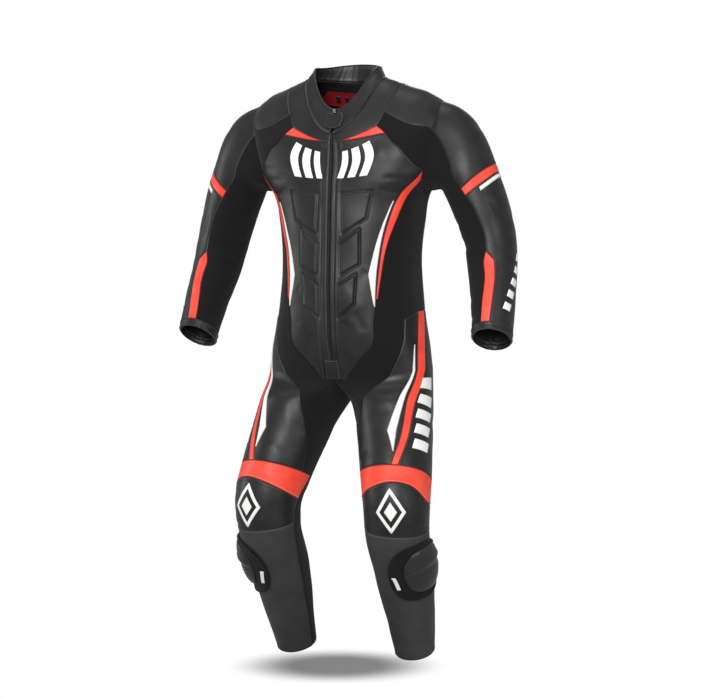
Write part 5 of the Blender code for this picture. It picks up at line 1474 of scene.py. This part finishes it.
tree.links.new(both, tree.nodes["Material Output"].inputs["Surface"])
floor = plane("studio_floor", 1.6, FLOOR_Z, FLOOR)
floor.location[:2] = SHADE_MIDDLE

world = bpy.data.worlds.new("studio")
bpy.context.scene.world = world
world.use_nodes = True
tree = world.node_tree
back = tree.nodes["Background"]
seen = add(tree, "LightPath").outputs["Is Camera Ray"]
tree.links.new(ranged(tree, seen, 0, 1, 0.46, 1.0), back.inputs["Strength"])
back.inputs["Color"].default_value = (1, 1, 1, 1)


def soft_light(name, place, aim, size, power):
    """An area light that looks at a point."""
    data = bpy.data.lights.new(name, "AREA")
    data.shape, data.size, data.size_y, data.energy = "RECTANGLE", size[0], size[1], power
    lamp = bpy.data.objects.new(name, data)
    lamp.location = place
    toward = Vector(aim) - Vector(place)
    lamp.rotation_euler = toward.to_track_quat("-Z", "Y").to_euler()
    bpy.context.scene.collection.objects.link(lamp)


soft_light("key", (0.9, -3.7, 0.7), (0, 0, -0.5), (1.3, 1.6), 95)
soft_light("fill", (3.6, -2.2, 0.2), (0, 0, -0.7), (0.8, 2.4), 34)
soft_light("top", (-0.3, -0.6, 2.6), (0, 0, -0.6), (1.6, 1.6), 20)
soft_light("side", (-3.4, -1.0, 0.1), (0, 0, -0.7), (0.7, 2.2), 30)
soft_light("back", (-1.4, 3.2, 1.2), (0, 0, -0.6), (1.4, 2.0), 40)

# %% [markdown]
# A long lens from far away keeps the suit's proportions, and the camera stands a
# little to its left, so that its stripes and the knee slider show.

# %% Camera
ELEVATION, FAR, AIM = np.radians(2.0), 6.5, Vector((0.0044, 0.0020, -0.606))
scene = bpy.context.scene
lens = bpy.data.cameras.new("camera")
lens.lens, lens.sensor_width, lens.clip_end = 137.7, 36.0, 50.0
camera = bpy.data.objects.new("camera", lens)
level_off = np.cos(ELEVATION)
away = Vector((np.sin(VIEW_TURN) * level_off, -np.cos(VIEW_TURN) * level_off, np.sin(ELEVATION)))
camera.location = AIM + away * FAR
camera.rotation_euler = (-away).to_track_quat("-Z", "Y").to_euler()
scene.collection.objects.link(camera)
scene.camera = camera
scene.view_settings.view_transform = "Standard"

# %% [markdown]
# ## What each piece is
#
# Every panel is a sheet of cloth. The size of its flat cut is printed: its
# longest row by its longest column, with the area of its outer skin.

# %% Sizes of the flat cuts
NARROW = 0.010                                          # the narrowest cut that is printed; the narrowest cut a sheet may state
for name, (piece, wide, tall, area) in cuts.items():
    for trim in trims.get(name, []):
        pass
    wide, tall = max(wide, NARROW), max(tall, NARROW)
    min(area, wide * tall)
    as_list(trims.get(name, []))
    print(name, round(wide, 3), "x", round(tall, 3), round(area, 4))
